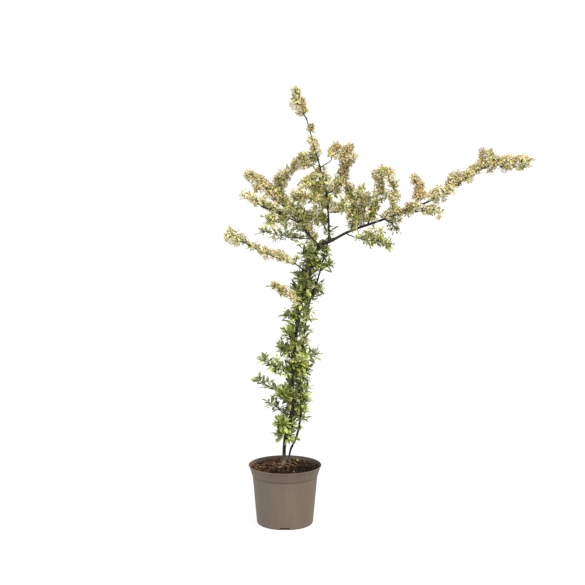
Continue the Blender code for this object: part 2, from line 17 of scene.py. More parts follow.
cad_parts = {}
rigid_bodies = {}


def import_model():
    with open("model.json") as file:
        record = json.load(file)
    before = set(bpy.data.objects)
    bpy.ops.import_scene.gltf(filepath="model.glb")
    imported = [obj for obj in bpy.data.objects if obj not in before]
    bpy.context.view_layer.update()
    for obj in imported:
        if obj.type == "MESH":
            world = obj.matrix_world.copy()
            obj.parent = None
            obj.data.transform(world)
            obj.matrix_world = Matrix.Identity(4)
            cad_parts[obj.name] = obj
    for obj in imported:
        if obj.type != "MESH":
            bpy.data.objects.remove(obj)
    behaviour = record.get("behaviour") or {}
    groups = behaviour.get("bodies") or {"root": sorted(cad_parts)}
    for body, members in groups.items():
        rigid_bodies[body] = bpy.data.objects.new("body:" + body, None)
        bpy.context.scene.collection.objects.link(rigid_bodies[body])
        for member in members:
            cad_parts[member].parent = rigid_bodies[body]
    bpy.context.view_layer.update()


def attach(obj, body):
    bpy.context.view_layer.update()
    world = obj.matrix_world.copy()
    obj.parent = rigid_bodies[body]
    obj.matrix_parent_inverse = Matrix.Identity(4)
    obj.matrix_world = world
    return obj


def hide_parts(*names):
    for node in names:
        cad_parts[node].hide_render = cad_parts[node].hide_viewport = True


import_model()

MM = 0.001
UP = Vector((0, 0, 1))

# Picture: a 585 pixel square frame, taken 5 m away from 1.5 m up
PICTURE_WIDTH = 585
FOCAL_LENGTH_IN_PIXELS = 1982.5
CAMERA_PLACE = (0.0195, -5.0, 1.5)
CAMERA_PITCH = 10.08
SENSOR_WIDTH = 36.0

# Pot, turned about the Z axis. Its collar is 3.5 mm shorter than the solid's
POT_HEIGHT = 157 * MM
POT_RIM_RADIUS = 95 * MM
POT_COLLAR_RADIUS = 86 * MM
POT_COLLAR_HEIGHT = 27.5 * MM
POT_STEP = 1.5 * MM
POT_STEP_ROUND = 1.4 * MM
POT_BASE_RADIUS = 73 * MM
POT_CORNER = 6 * MM
POT_LIP = 2.4 * MM
POT_WALL = 1.8 * MM
POT_FLOOR = 2.5 * MM
POT_SIDES = 160
POT_BAND_DROP = 9 * MM
POT_BAND_RELIEF = 0.35 * MM
POT_BAND_WIDTH = 1.6 * MM
BODY_RINGS = 40
STEP_RINGS = 6
COLLAR_RINGS = 17
INNER_RINGS = 9
COLLAR_FLARE = 1.3
DRAIN_HOLES = 4
DRAIN_WIDTH = 26 * MM
DRAIN_HEIGHT = 7 * MM
DRAIN_DEPTH = 14 * MM
DRAIN_ROUND = 1.6 * MM

# Compost, filled to a little below the rim: flat in the middle, lower at the wall, calm round the
# stems, with lumps of three sizes, each with its share of the height
COMPOST_LEVEL = 152 * MM
COMPOST_FLAT_RADIUS = 58 * MM
COMPOST_EDGE_WIDTH = 30 * MM
COMPOST_EDGE_DROP = 5 * MM
COMPOST_EDGE_FLARE = 4.6 * MM
COMPOST_RINGS = 46
COMPOST_SIDES = 160
LUMP_HEIGHT = 1.6 * MM
LUMP_SIZES = ((19 * MM, 1), (8 * MM, 0.55), (3 * MM, 0.3))
STEM_FOOT = (0, 30 * MM)
CALM_RADIUS = 40 * MM
SPACE = 0.5 * MM

# Limbs: the limb that bears each one (a stem stands in the compost), the radius of its foot and of
# its tip, and the points that it bends through, all in millimetres
STANDS = "compost"
LIMBS = {
    "main_stem": (
        STANDS,
        (4.6, 3.9),
        [(-3, 30, 152.3), (0, 20, 218), (16, 10, 286), (21, 4, 381), (26, 6, 473), (40, 4, 575)]
        + [(62, 0, 651), (80, 0, 715), (93, 0, 737), (120, 0, 746)],
    ),
    "second_stem": (
        STANDS,
        (2.9, 2.0),
        [(10, 42, 152.3), (14, 38, 185), (32, 35, 229), (40, 30, 282), (42, 27, 376), (48, 24, 483)]
        + [(62, 18, 576), (84, 15, 642), (110, 2, 742)],
    ),
    "right_bough": (
        "main_stem",
        (3.6, 1.7),
        [(120, 0, 746), (166, -6, 771), (239, -20, 799), (291, -35, 821), (375, -50, 859)]
        + [(435, -50, 898), (488, -45, 932)],
    ),
    "leader": (
        "main_stem",
        (2.9, 1.5),
        [(113, 2, 744), (111, 12, 807), (106, 16, 866), (88, 12, 938), (67, 0, 1013), (55, -6, 1057)],
    ),
    "upright_twig": ("right_bough", (2.1, 1.6), [(179, -8, 776), (174, 20, 822), (163, 48, 866)]),
    "arch_twig": ("leader", (1.8, 1.5), [(85, 11, 949), (62, 30, 956), (41, 50, 949)]),
    "left_upper": ("main_stem", (2.9, 1.6), [(88, 0, 731), (46, 20, 775), (8, 50, 815), (-30, 76, 848)]),
    "left_lower": ("left_upper", (2.1, 1.6), [(34, 28, 788), (1, -30, 812), (-57, -80, 844)]),
    "left_low": ("main_stem", (2.0, 1.6), [(64, 0, 656), (28, -20, 688), (12, -32, 694)]),
}

# Sprays: limb, place along it (1 is its tip), reach in millimetres from there to the spray's own
# tip, how far the middle bows out, and the kind of growth. Two of them, mid_right and side_shoot,
# start 15 to 20 mm higher up the leader than in the solids
SPRAYS = {
    "top_spike": ("leader", 1, (-28, -14, 67), (-2, 0, -6), "blossom"),
    "leader_posy": ("leader", 0.9, (4, -8, 9), (0, 0, 0), "posy"),
    "leader_cluster": ("leader", 0.7, (-13, -22, 34), (0, 0, 0), "blossom"),
    "head_left": ("leader", 0.59, (38, 37, 45), (8, 0, -6), "blossom"),
    "head_right": ("upright_twig", 1, (-6, 37, 104), (-12, 0, 0), "blossom"),
    "mid_right": ("leader", 0.38, (36, -86, 40), (0, 0, -8), "mixed"),
    "side_shoot": ("leader", 0.225, (38, -100, 38), (4, 0, -10), "mixed"),
    "inner_upper": ("leader", 0.5, (-52, -95, -4), (0, 0, 8), "mixed"),
    "inner_middle": ("leader", 0.3, (-86, -130, 29), (0, -8, 6), "mixed"),
    "inner_lower": ("leader", 0.15, (-100, 90, 15), (0, 10, 0), "mixed"),
    "arch_spray": ("arch_twig", 1, (-58, 34, -56), (6, 6, 0), "blossom"),
    "left_upright": ("left_upper", 0.8, (-10, 62, 63), (-8, 0, 0), "blossom"),
    "left_upper_spray": ("left_upper", 1, (-62, 50, 50), (0, 0, 3), "blossom"),
    "left_lower_spray": ("left_lower", 1, (-40, -36, 31), (0, 0, 3), "blossom"),
    "left_leafy": ("left_lower", 0.46, (-40, -62, 1), (0, 0, -5), "leafy"),
    "left_thin_shoot": ("left_upper", 0.17, (-120, 36, 10), (0, 0, -6), "leafy"),
    "left_low_spray": ("left_low", 1, (-144, -80, 79), (0, 0, -4), "blossom"),
    "left_short_spray": ("main_stem", 0.69, (-67, -60, 56), (0, 0, 0), "blossom"),
    "bough_blossom": ("right_bough", 0.355, (66, -52, 37), (0, -8, 2), "blossom"),
    "bough_underside": ("right_bough", 0.48, (76, -56, 14), (0, 0, -2), "blossom"),
    "bough_upright": ("right_bough", 0.57, (-5, 34, 65), (9, 0, 0), "blossom"),
    "bough_outer": ("right_bough", 0.64, (49, -40, 32), (0, -4, 3), "blossom"),
    "bough_far": ("right_bough", 0.78, (66, 30, 42), (-2, 4, 4), "blossom"),
    "bough_tip": ("right_bough", 1, (119, -15, 24), (0, 0, 8), "blossom"),
    "left_leg": ("right_bough", 0.25, (28, -26, 135), (6, 0, 0), "mixed"),
    "right_leg": ("right_bough", 0.405, (-16, -34, 116), (12, -8, 2), "mixed"),
    "leg_leafy": ("right_bough", 0.22, (-9, 48, 73), (4, 8, 0), "mixed"),
    "bough_foot": ("right_bough", 0.14, (-1, -46, 25), (0, 0, 0), "leafy"),
    "drooping_spur": ("right_bough", 0.355, (25, 14, -23), (4, 0, 0), "leafy"),
    "hanging_shoot": ("right_bough", 0.1, (102, -110, -11), (0, 0, -6), "leafy"),
    "rear_spray": ("leader", 0.24, (-30, 190, 44), (-8, 0, 10), "mixed"),
    "rear_low_spray": ("main_stem", 0.74, (21, 150, 119), (0, 0, -12), "mixed"),
    "hub_tuft": ("main_stem", 0.87, (-20, -30, 28), (0, 0, 0), "leafy"),
    "stem_right_upper": ("second_stem", 0.88, (15, -20, 12), (0, 0, 0), "leafy"),
    "stem_right_middle": ("second_stem", 0.76, (15, 22, 10), (0, 0, 0), "leafy"),
    "stem_left_upper": ("main_stem", 0.78, (-18, 22, 15), (0, 0, 0), "leafy"),
    "stem_left_middle": ("main_stem", 0.71, (-17, 30, 19), (0, 0, 0), "leafy"),
    "stem_left_lower": ("main_stem", 0.62, (-23, 10, 11), (0, 0, 2), "leafy"),
    "stem_left_foot": ("main_stem", 0.54, (-22, -24, 20), (0, 0, 0), "leafy"),
    "leaf_tuft": ("main_stem", 0.46, (-30, 14, 25), (0, 0, 0), "leafy"),
    "left_shoot_upper": ("main_stem", 0.4, (-74, -30, 40), (0, 0, -6), "leafy"),
    "left_shoot_lower": ("main_stem", 0.3, (-83, 24, 35), (0, 0, -4), "leafy"),
    "bright_tuft": ("second_stem", 0.4, (-2, -44, 47), (0, 0, 0), "leafy"),
    "thorn_shoot": ("second_stem", 0.47, (31, 22, 8), (0, 0, 0), "leafy"),
    "middle_tuft": ("main_stem", 0.27, (-25, -34, 33), (0, 0, 0), "leafy"),
    "right_tuft": ("second_stem", 0.26, (8, -22, 27), (0, 0, 0), "leafy"),
    "zigzag_shoot": ("main_stem", 0.22, (-50, -9, 32), (0, 0, -6), "leafy"),
    "basal_tuft": ("main_stem", 0.14, (-17, -26, 29), (0, 0, 0), "leafy"),
}

# Each kind of growth: distance between nodes, share of nodes that bear a flower head, leaves on a
# node without one, leaf length, leaf width and flower head radius, all lengths in millimetres
KINDS = {
    "blossom": (17, 0.92, 1, (20, 26), 9.0, (9.5, 13.0)),
    "posy": (9, 0.85, 1, (12, 16), 7.0, (5.5, 7.0)),
    "mixed": (18, 0.55, 2, (24, 30), 10.0, (8.5, 11.0)),
    "leafy": (17.5, 0.0, 2, (26, 34), 11.0, (8.0, 10.0)),
}
CURVE_STEPS = 12
LIMB_STEP = 2.5 * MM
STEM_STEP = 5 * MM
STEM_RADIUS = 1.7 * MM
STEM_TIP_RADIUS = 0.7 * MM
STEM_JOG = 0.3 * MM
STEM_FOOT_SWELL = 0.5 * MM
KNEE_SHARE = 0.06
LIFT = 4 * MM
FORKED = "head_right"
FORK_PLACE = 0.42
FORK_REACH = (23, -30, 44)
GOLDEN_TURN = math.radians(137.5)
TURN_JITTER = 0.4
NODE_JITTER = 0.2
FIRST_NODE = 0.6
HEAD_LEAN = 0.4
RISE = 0.3
HEAD_FLATTENING = 0.85
HEAD_STRETCH = 1.15
HEAD_SINK = 0.55
HEAD_LEAF_SHARE = 0.35
LEAF_LEAN = 0.8
TIP_LEAF_LEAN = 1.2
LEAF_RISE = 0.2
LEAF_SPREAD_JITTER = 0.15

# A piece of small growth is closed once it has this many triangles
PIECE_TRIANGLES = 140000


def plain_colour(code):
    """An sRGB hex colour as the linear red, green, blue and alpha that a shader takes."""
    parts = [int(code[place : place + 2], 16) / 255 for place in (1, 3, 5)]
    return [part / 12.92 if part <= 0.04045 else ((part + 0.055) / 1.055) ** 2.4 for part in parts] + [1.0]


def add_node(tree, kind, parts):
    """Adds a shader node and gives back its outputs. A part is one of the node's own settings, or a
    socket's plain value, or the socket that feeds it, or the stops of a ramp in hex colours."""
    node = tree.nodes.new(kind)
    for name, part in parts.items():
        if name == "stops":
            points = node.color_ramp.elements
            while len(points) < len(part):
                points.new(0.5)
            for point, (place, colour) in zip(points, part):
                point.position = place
                point.color = plain_colour(colour)
        elif isinstance(part, bpy.types.NodeSocket):
            tree.links.new(part, node.inputs[name])
        elif hasattr(node, str(name)):
            setattr(node, name, part)
        else:
            node.inputs[name].default_value = part
    return node.outputs


def new_material(name, colour, roughness, more=None):
    """A Principled material, its node tree and its shader's sockets, with plain values on these."""
    made = bpy.data.materials.new(name)
    made.use_nodes = True
    shader = made.node_tree.nodes["Principled BSDF"].inputs
    plain = {"Base Color": plain_colour(colour), "Roughness": roughness, "IOR": 1.45, **(more or {})}
    for socket, value in plain.items():
        shader[socket].default_value = value
    return made, made.node_tree, shader


# Leaves and petals: plain colours, one material for each tint, dealt out by spray and by flower

LEAF_TINTS = {
    "deep": "#67733F",
    "mid": "#959F52",
    "fresh": "#B8C36B",
    "grey": "#A2A67C",
    "yellow": "#CBC872",
    "olive": "#AFAC64",
    "khaki": "#86864E",
}
PETAL_TINTS = {
    "cream": "#FAF4D2",
    "ivory": "#F2E8B4",
    "straw": "#E6D296",
    "faded": "#C6A877",
}
FLOWER_PARTS = {
    "pollen_yellow_stamen": ("#D6B86C", 0.85),
    "green_flower_eye": ("#B2AA5C", 0.7),
    "downy_green_stalk": ("#94924F", 0.8),
    "closed_cream_bud": ("#E2DAA0", 0.7),
}
PETAL_COUNT = len(PETAL_TINTS)
STAMEN, EYE, STALK, BUD = range(PETAL_COUNT, PETAL_COUNT + len(FLOWER_PARTS))


def leaf_materials():
    """Waxy firethorn leaves, from old and dark to young: satin, so that each blade catches light."""
    wax = {"IOR": 1.42, "Specular IOR Level": 0.45}
    return [new_material(f"waxy_leaf_{tint}", colour, 0.42, wax)[0] for tint, colour in LEAF_TINTS.items()]


def flower_materials():
    """Matte petals from fresh to faded, with a faint bloom, then the other parts of a flower."""
    bloom = {"IOR": 1.38, "Sheen Weight": 0.15}
    petals = [(f"matte_petal_{tint}", colour, 0.75, bloom) for tint, colour in PETAL_TINTS.items()]
    others = [(part, *finish) for part, finish in FLOWER_PARTS.items()]
    return [new_material(*finish)[0] for finish in petals + others]


# Curves and tubes


def smooth_path(points, step):
    """A Catmull-Rom curve through the points, read at even steps along its length."""
    ends = [points[0] * 2 - points[1], *points, points[-1] * 2 - points[-2]]
    fine = []
    for a, b, c, d in zip(ends, ends[1:], ends[2:], ends[3:]):
        for share in (index / CURVE_STEPS for index in range(CURVE_STEPS)):
            point = 2 * b + (c - a) * share + (2 * a - 5 * b + 4 * c - d) * share**2
            fine.append(0.5 * (point + (3 * b - a - 3 * c + d) * share**3))
    fine.append(points[-1])
    lengths = [0.0]
    for before, after in zip(fine, fine[1:]):
        lengths.append(lengths[-1] + (after - before).length)
    count = max(2, round(lengths[-1] / step))
    wanted = [lengths[-1] * index / count for index in range(count + 1)]
    read = [np.interp(wanted, lengths, [point[axis] for point in fine]) for axis in range(3)]
    return [Vector(point) for point in zip(*read)]


def along(path, share):
    """The point and direction a share of the way along a path of even steps."""
    place = min(max(share, 0), 1) * (len(path) - 1)
    index = min(int(place), len(path) - 2)
    return path[index].lerp(path[index + 1], place - index), (path[index + 1] - path[index]).normalized()


def path_length(path):
    """The length of a path."""
    return sum((after - before).length for before, after in zip(path, path[1:]))


def sideways(direction):
    """Any unit vector square to a direction, turned as little as possible from the horizontal."""
    side = direction.cross(UP)
    if side.length < 0.05:
        side = direction.cross(Vector((0, 1, 0)))
    return side.normalized()


def leaning(out, direction, forward, up):
    """A unit vector that points out from a stem, leant forward along it and up."""
    return (out + direction * forward + UP * up).normalized()


def unit(vectors):
    """Vectors of an array, each made one long."""
    return vectors / np.maximum(np.linalg.norm(vectors, axis=-1, keepdims=True), 1e-9)


def closed_skin(rings, sides, first, foot, tip):
    """Triangles over rings of as many corners each, closed by a fan round one corner at each end. The
    numbers of the first ring's first corner and of the two middle corners are given."""
    step = np.arange(sides)
    following = (step + 1) % sides
    faces = [np.stack([first + following, first + step, np.full(sides, foot)], 1)]
    for low in range(first, first + (rings - 1) * sides, sides):
        high = low + sides
        faces.append(np.stack([low + step, low + following, high + following], 1))
        faces.append(np.stack([low + step, high + following, high + step], 1))
    last = first + (rings - 1) * sides
    faces.append(np.stack([last + step, last + following, np.full(sides, tip)], 1))
    return np.concatenate(faces)


def tubes(paths, radii, sides):
    """Tubes along many paths of as many rings each, without twist, closed at each end. A radius is
    one number a ring, or one for each side of each ring."""
    paths = np.asarray(paths, float)
    radii = np.asarray(radii, float)
    if radii.ndim == 2:
        radii = radii[:, :, None]
    count, rings, _ = paths.shape
    ahead = unit(np.gradient(paths, axis=1))
    side = np.cross(ahead[:, 0], (0, 0, 1))
    steep = np.linalg.norm(side, axis=1) < 0.05
    side[steep] = np.cross(ahead[steep, 0], (0, 1, 0))
    turns = 2 * math.pi * np.arange(sides) / sides
    across, up = np.cos(turns)[None, :, None], np.sin(turns)[None, :, None]
    corners = np.empty((count, rings * sides + 2, 3))
    for ring in range(rings):
        forward = ahead[:, ring]
        side = unit(side - forward * np.sum(side * forward, axis=1, keepdims=True))
        around = (across * side[:, None] + up * np.cross(forward, side)[:, None]) * radii[:, ring, :, None]
        corners[:, ring * sides : (ring + 1) * sides] = paths[:, ring, None] + around
    corners[:, -2] = paths[:, 0]
    corners[:, -1] = paths[:, -1]
    return corners, closed_skin(rings, sides, 0, rings * sides, rings * sides + 1)


class Bundle:
    """Small meshes gathered into one piece, in which each face keeps its own material."""

    def __init__(self, name, stuffs, slot):
        self.name = name
        self.stuffs = stuffs
        self.slot = slot
        self.nodes = []
        self.made = 0
        self.clear()

    def clear(self):
        """Starts the next piece of the bundle."""
        self.corners, self.faces, self.kinds, self.count = [], [], [], 0

    def add(self, corners, faces, stuff):
        """Adds copies of a small mesh: corners is (copies, corners, 3), stuff a number or one a copy."""
        corners = np.asarray(corners, float)
        copies, size, _ = corners.shape
        if not copies:
            return
        shifts = self.count + size * np.arange(copies)
        self.corners.append(corners.reshape(-1, 3))
        self.faces.append((np.asarray(faces)[None] + shifts[:, None, None]).reshape(-1, 3))
        self.kinds.append(np.repeat(np.broadcast_to(stuff, copies), len(faces)))
        self.count += copies * size

    def triangles(self):
        """How many triangles the piece has so far."""
        return sum(len(faces) for faces in self.faces)

    def finish(self, last=False):
        """Turns what is gathered into a piece that stands for its nodes, once it is large enough."""
        if not self.count or (self.triangles() < PIECE_TRIANGLES and not last):
            return None
        self.made += 1
        thing = mesh_object(
            f"{self.name}_{self.made}",
            np.concatenate(self.corners),
            np.concatenate(self.faces),
            self.stuffs,
            np.concatenate(self.kinds),
        )
        settle(thing, self.nodes)
        self.nodes = []
        self.clear()
        return thing


def mesh_object(name, corners, faces, stuffs, kinds=None):
    """A mesh object from arrays of corners and triangles, with a material number for each face."""
    mesh = bpy.data.meshes.new(name)
    mesh.vertices.add(len(corners))
    mesh.vertices.foreach_set("co", np.asarray(corners, np.float32).ravel())
    mesh.loops.add(len(faces) * 3)
    mesh.loops.foreach_set("vertex_index", np.asarray(faces, np.int32).ravel())
    mesh.polygons.add(len(faces))
    mesh.polygons.foreach_set("loop_start", np.arange(0, len(faces) * 3, 3, dtype=np.int32))
    for stuff in stuffs:
        mesh.materials.append(stuff)
    if kinds is not None:
        mesh.polygons.foreach_set("material_index", np.asarray(kinds, np.int32))
    mesh.update(calc_edges=True)
    mesh.validate()
    thing = bpy.data.objects.new(name, mesh)
    bpy.context.scene.collection.objects.link(thing)
    return thing


def settle(thing, nodes=()):
    """Rides a piece on the plant and lets it stand for solids."""
    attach(thing, "root")
    if nodes:
        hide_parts(*nodes)


def copies_of(shape, origins, across, ahead, up):
    """Copies of a small shape, each placed and stretched by its own three axes."""
    shape = np.asarray(shape, float)
    return (
        np.asarray(origins)[:, None]
        + shape[None, :, 0, None] * np.asarray(across)[:, None]
        + shape[None, :, 1, None] * np.asarray(ahead)[:, None]
        + shape[None, :, 2, None] * np.asarray(up)[:, None]
    )


# The growth rule of the solids


def limb_path(name, step=LIMB_STEP):
    """A limb's middle line."""
    return smooth_path([Vector(point) * MM for point in LIMBS[name][2]], step)


def limb_radius(name, share):
    """A limb's radius a share of the way up it."""
    foot, tip = LIMBS[name][1]
    return (foot + (tip - foot) * share) * MM


def spray_stem(name):
    """A spray's stem, from the middle of its limb through the bowed middle to its tip."""
    limb, share, reach, bow, _ = SPRAYS[name]
    foot, direction = along(limb_path(limb), share)
    reach = Vector(reach) * MM
    middle = foot + reach / 2 + Vector(bow) * MM
    if share == 1:
        return smooth_path([foot, middle, foot + reach], STEM_STEP)
    out = (reach - direction * reach.dot(direction)).normalized()
    knee = foot + out * (limb_radius(limb, share) + LIFT) + reach * KNEE_SHARE
    return smooth_path([foot, knee, middle, foot + reach], STEM_STEP)


def grow(name, path):
    """The seeded rule: nodes turn round a spray's stem by the golden angle, and each one bears
    leaves, a flower head or both. A node is (share, place, direction, lean, leaves, head), a leaf is
    (root, blade, face, length, width) and a head is its radius, or nothing.
    """
    step, head_share, leaf_count, leaf_length, leaf_width, head_size = KINDS[SPRAYS[name][4]]
    rng = random.Random(name)
    count = max(2, round(path_length(path) / (step * MM)))
    turn = rng.uniform(0, 2 * math.pi)
    nodes = []
    for index in range(count + 1):
        is_tip = index == count
        jitter = rng.uniform(-NODE_JITTER, NODE_JITTER)
        share = 1.0 if is_tip else (index + FIRST_NODE + jitter) / (count + FIRST_NODE / 2)
        place, direction = along(path, share)
        turn += GOLDEN_TURN + rng.uniform(-TURN_JITTER, TURN_JITTER)
        side = sideways(direction)
        other = direction.cross(side)
        out = side * math.cos(turn) + other * math.sin(turn)
        lit = Vector((out.x, out.y, abs(out.z)))
        lean = direction if is_tip else leaning(lit, direction, HEAD_LEAN, RISE)
        bears_head = rng.random() < head_share
        head_radius = rng.uniform(*head_size) * MM
        bears_leaf = rng.random() < HEAD_LEAF_SHARE
        leaves = []
        for leaf in range(int(bears_leaf) if bears_head else leaf_count + is_tip):
            jitter = rng.uniform(-LEAF_SPREAD_JITTER, LEAF_SPREAD_JITTER)
            spread = turn + 2 * math.pi * (leaf + jitter) / (leaf_count + is_tip)
            fan = side * math.cos(spread) + other * math.sin(spread)
            forward = direction * (TIP_LEAF_LEAN if is_tip else LEAF_LEAN)
            blade = (forward + fan + UP * LEAF_RISE).normalized()
            size = rng.uniform(*leaf_length) * MM
            face = (blade.cross(UP).cross(blade) + fan * RISE).normalized()
            leaves.append((place, blade, face, size, leaf_width * size / leaf_length[1]))
        nodes.append((share, place, direction, lean, leaves, head_radius if bears_head else None))
    return nodes


# Finer growth: what the rule is carried on to

# Leaves: shortest and longest, and width for a length of one. Those of the stems are old and large,
# those of the flowering sprays small and broad, and lone ones long and slim
STEM_LEAF = (16 * MM, 27 * MM, 0.33)
SPRAY_LEAF = (8 * MM, 15 * MM, 0.42)
LONE_LEAF = (20 * MM, 27 * MM, 0.26)
LEAF_FULLNESS = (0.85, 1.2)
BLADE_STRAY = 0.08
FACE_STRAY = 0.25

# Side twigs with leaves in pairs, rosettes, thorns and bunches of stronger growth
SIDE_TWIG_RADIUS = (0.8 * MM, 0.45 * MM)
SIDE_TWIG_BOW = (-0.03, 0.05)
END_LEAF_SHARE = 0.6
PAIR_SPACING = 4.5 * MM
PAIR_LEAF_SHARE = 0.8
PAIR_SPREAD = (0.7, 1.3)
PAIR_LIFT = (-0.5, 0.8)
ROSETTE_OPENING = (0.35, 1.3)
THORN_LENGTH = (5 * MM, 11 * MM)
THORN_RADII = (1.0 * MM, 0.5 * MM, 0.05 * MM)
BUNCH_LENGTH = 26 * MM
BUNCH_STRENGTH = 1.1
BUNCH_LEAST = 0.7

# Flower heads: sizes of what they bear, the room that each flower has, how far down the dome goes,
# how deep its shell is, and the share of flowers that are as old as most on their head
FLOWER_SIZE = (5.0 * MM, 6.8 * MM)
BUD_SIZE = (2.2 * MM, 3.4 * MM)
STALK_RADIUS = 0.36 * MM
FLOWER_AREA = 27 * MM * MM
DOME_DEPTH = 1.35
SHELL = (0.68, 1.12)
USUAL_SHARE = 0.7
FLOWER_STRAY = 0.25
FLOWER_UPTURN = 0.25
FLOWER_JITTER = 0.3
HEAD_UPTURN = 0.35
SPUR_HEAD = (6 * MM, 9 * MM)
BETWEEN_HEAD = (7.5 * MM, 10.5 * MM)

# Spurs: one tuft more behind the first from each of these lengths on, their length on a spray, how
# far they bow up, and how far their tufts turn from their line
TUFT_LENGTHS = (8 * MM, 16 * MM)
BETWEEN_SPUR = (2 * MM, 11 * MM)
SPUR_BOW = 0.06
TUFT_STRAY = 0.45

# Thorns: share of the places that bear one, how far they lean forward, and their stray
THORN_SHARE = 0.25
STEM_THORN_SHARE = 0.2
THORN_LEAN = 0.25
THORN_STRAY = 0.12

# Palettes: each lists its leaf tints as often as they turn up, and petal tints likewise
DEEP, MID, FRESH, GREY, YELLOW, OLIVE, KHAKI = range(len(LEAF_TINTS))
LUSH = (DEEP, DEEP, MID, MID, MID, FRESH, FRESH, OLIVE)
GREEN = (DEEP, MID, MID, FRESH, FRESH, FRESH)
BRIGHT = (MID, MID, FRESH, FRESH, FRESH, YELLOW)
OLIVES = (OLIVE, OLIVE, FRESH, KHAKI, GREY, YELLOW)
PALE = (GREY, GREY, OLIVE, FRESH, FRESH, YELLOW)
GOLDEN = (YELLOW, FRESH, FRESH, OLIVE, OLIVE)
CREAM, IVORY, STRAW, FADED = range(len(PETAL_TINTS))
OPEN = (CREAM, CREAM, CREAM, IVORY, IVORY, STRAW)
RIPE = (CREAM, IVORY, IVORY, STRAW, STRAW, FADED)
OLD = (IVORY, STRAW, STRAW, FADED, FADED, FADED)


class Growth:
    """What one spray bears: its leaves, flowers, buds, stalks, side twigs and thorns."""

    def __init__(self, seed, leaf_size, palette, petals, bud_share):
        self.rng = random.Random(seed)
        self.leaf_size = leaf_size
        self.palette = palette
        self.petals = petals
        self.bud_share = bud_share
        self.leaves = []
        self.flowers = []
        self.buds = []
        self.stalks = []
        self.twigs = []
        self.thorns = []

    def wander(self, direction, amount):
        """A direction turned a little at random."""
        jolt = Vector([self.rng.gauss(0, amount) for _ in range(3)])
        return (direction + jolt).normalized()

    def leaf(self, root, blade, length, tint, face=UP):
        """One small leaf, its face turned up or, where it is given, out."""
        blade = self.wander(blade, BLADE_STRAY)
        across = blade.cross(self.wander(face, FACE_STRAY))
        if across.length < 0.1:
            across = sideways(blade)
        face = across.normalized().cross(blade)
        width = length * self.leaf_size[2] * self.rng.uniform(*LEAF_FULLNESS)
        stray = self.rng.choice(self.palette)
        self.leaves.append((root, blade, face, length, width, self.rng.choice((tint, tint, stray))))

    def side_twig(self, leaf):
        """A solid's leaf carried on: a side twig with pairs of small leaves and one at its end."""
        root, blade, face, length, _ = leaf
        rng = self.rng
        shortest, longest, _ = self.leaf_size
        last = min(rng.uniform(shortest, longest), length * END_LEAF_SHARE)
        end = root + blade * (length - last)
        self.twigs.append((root, root.lerp(end, 0.5) + face * length * rng.uniform(*SIDE_TWIG_BOW), end))
        tint = rng.choice(self.palette)
        self.leaf(end, blade, last, tint, face)
        side = blade.cross(face).normalized()
        pairs = max(2, round((end - root).length / PAIR_SPACING))
        for pair in range(pairs):
            start = root.lerp(end, (pair + 0.5) / pairs)
            for way in (-1, 1):
                spread = way * rng.uniform(*PAIR_SPREAD)
                aim = blade * math.cos(spread) + side * math.sin(spread) + face * rng.uniform(*PAIR_LIFT)
                size = rng.uniform(shortest, longest) * PAIR_LEAF_SHARE
                self.leaf(start, aim.normalized(), size, tint)

    def rosette(self, root, lean, count):
        """Small leaves that spread round a bud, at the foot of a flower head or on bare wood."""
        side = sideways(lean)
        other = lean.cross(side)
        tint = self.rng.choice(self.palette)
        turn = self.rng.uniform(0, math.tau)
        for _ in range(count):
            turn += GOLDEN_TURN
            open_angle = self.rng.uniform(*ROSETTE_OPENING)
            out = side * math.cos(turn) + other * math.sin(turn)
            blade = lean * math.cos(open_angle) + out * math.sin(open_angle)
            self.leaf(root, blade, self.rng.uniform(*self.leaf_size[:2]), tint)

    def flower_head(self, root, lean, radius, more_buds=0):
        """A domed head: stalks from one point bear flowers and buds over a flattened ball. Most of
        its flowers are as old as one another."""
        rng = self.rng
        usual = rng.choice(self.petals)
        centre = root + lean * radius * HEAD_SINK
        side = sideways(lean)
        other = lean.cross(side)
        count = max(6, round(math.tau * radius**2 / FLOWER_AREA))
        for index in range(count):
            height = 1 - DOME_DEPTH * (index + 0.5) / count
            ring = math.sqrt(max(0, 1 - height**2))
            turn = GOLDEN_TURN * index + rng.uniform(-FLOWER_JITTER, FLOWER_JITTER)
            aim = lean * height * HEAD_FLATTENING
            aim = aim + side * (ring * math.cos(turn)) + other * (ring * math.sin(turn) * HEAD_STRETCH)
            place = centre + aim * radius * rng.uniform(*SHELL)
            axis = self.wander((aim + UP * FLOWER_UPTURN).normalized(), FLOWER_STRAY)
            if rng.random() < self.bud_share + more_buds:
                size = rng.uniform(*BUD_SIZE)
                self.buds.append((place, axis, size))
            else:
                size = rng.uniform(*FLOWER_SIZE)
                petals = usual if rng.random() < USUAL_SHARE else rng.choice(self.petals)
                self.flowers.append((place, axis, size, rng.uniform(0, math.tau), petals, rng.random()))
            self.stalks.append((root + lean * radius * 0.15, place - axis * size * 0.15))
        self.twigs.append((root, root + lean * radius * 0.12, root + lean * radius * 0.25))

    def spur(self, root, lean, length, leaf_count, head_share):
        """A short side twig with a tuft at its end and more behind it, some of them flower heads."""
        end = root + lean * length
        self.twigs.append((root, root.lerp(end, 0.5) + UP * length * SPUR_BOW, end))
        tufts = 1 + sum(length > limit for limit in TUFT_LENGTHS)
        for tuft in range(tufts):
            place = root.lerp(end, 1 - tuft / (tufts + 0.5))
            heading = self.wander(lean, TUFT_STRAY)
            if self.rng.random() < head_share:
                self.flower_head(place, heading, self.rng.uniform(*SPUR_HEAD))
                self.rosette(place, heading, max(2, leaf_count // 2))
            else:
                self.rosette(place, heading, leaf_count)

    def thorn(self, root, direction, out):
        """A stout thorn that stands off the wood, a little forward."""
        aim = self.wander((out + direction * THORN_LEAN).normalized(), THORN_STRAY)
        self.thorns.append((root, root + aim * self.rng.uniform(*THORN_LENGTH)))


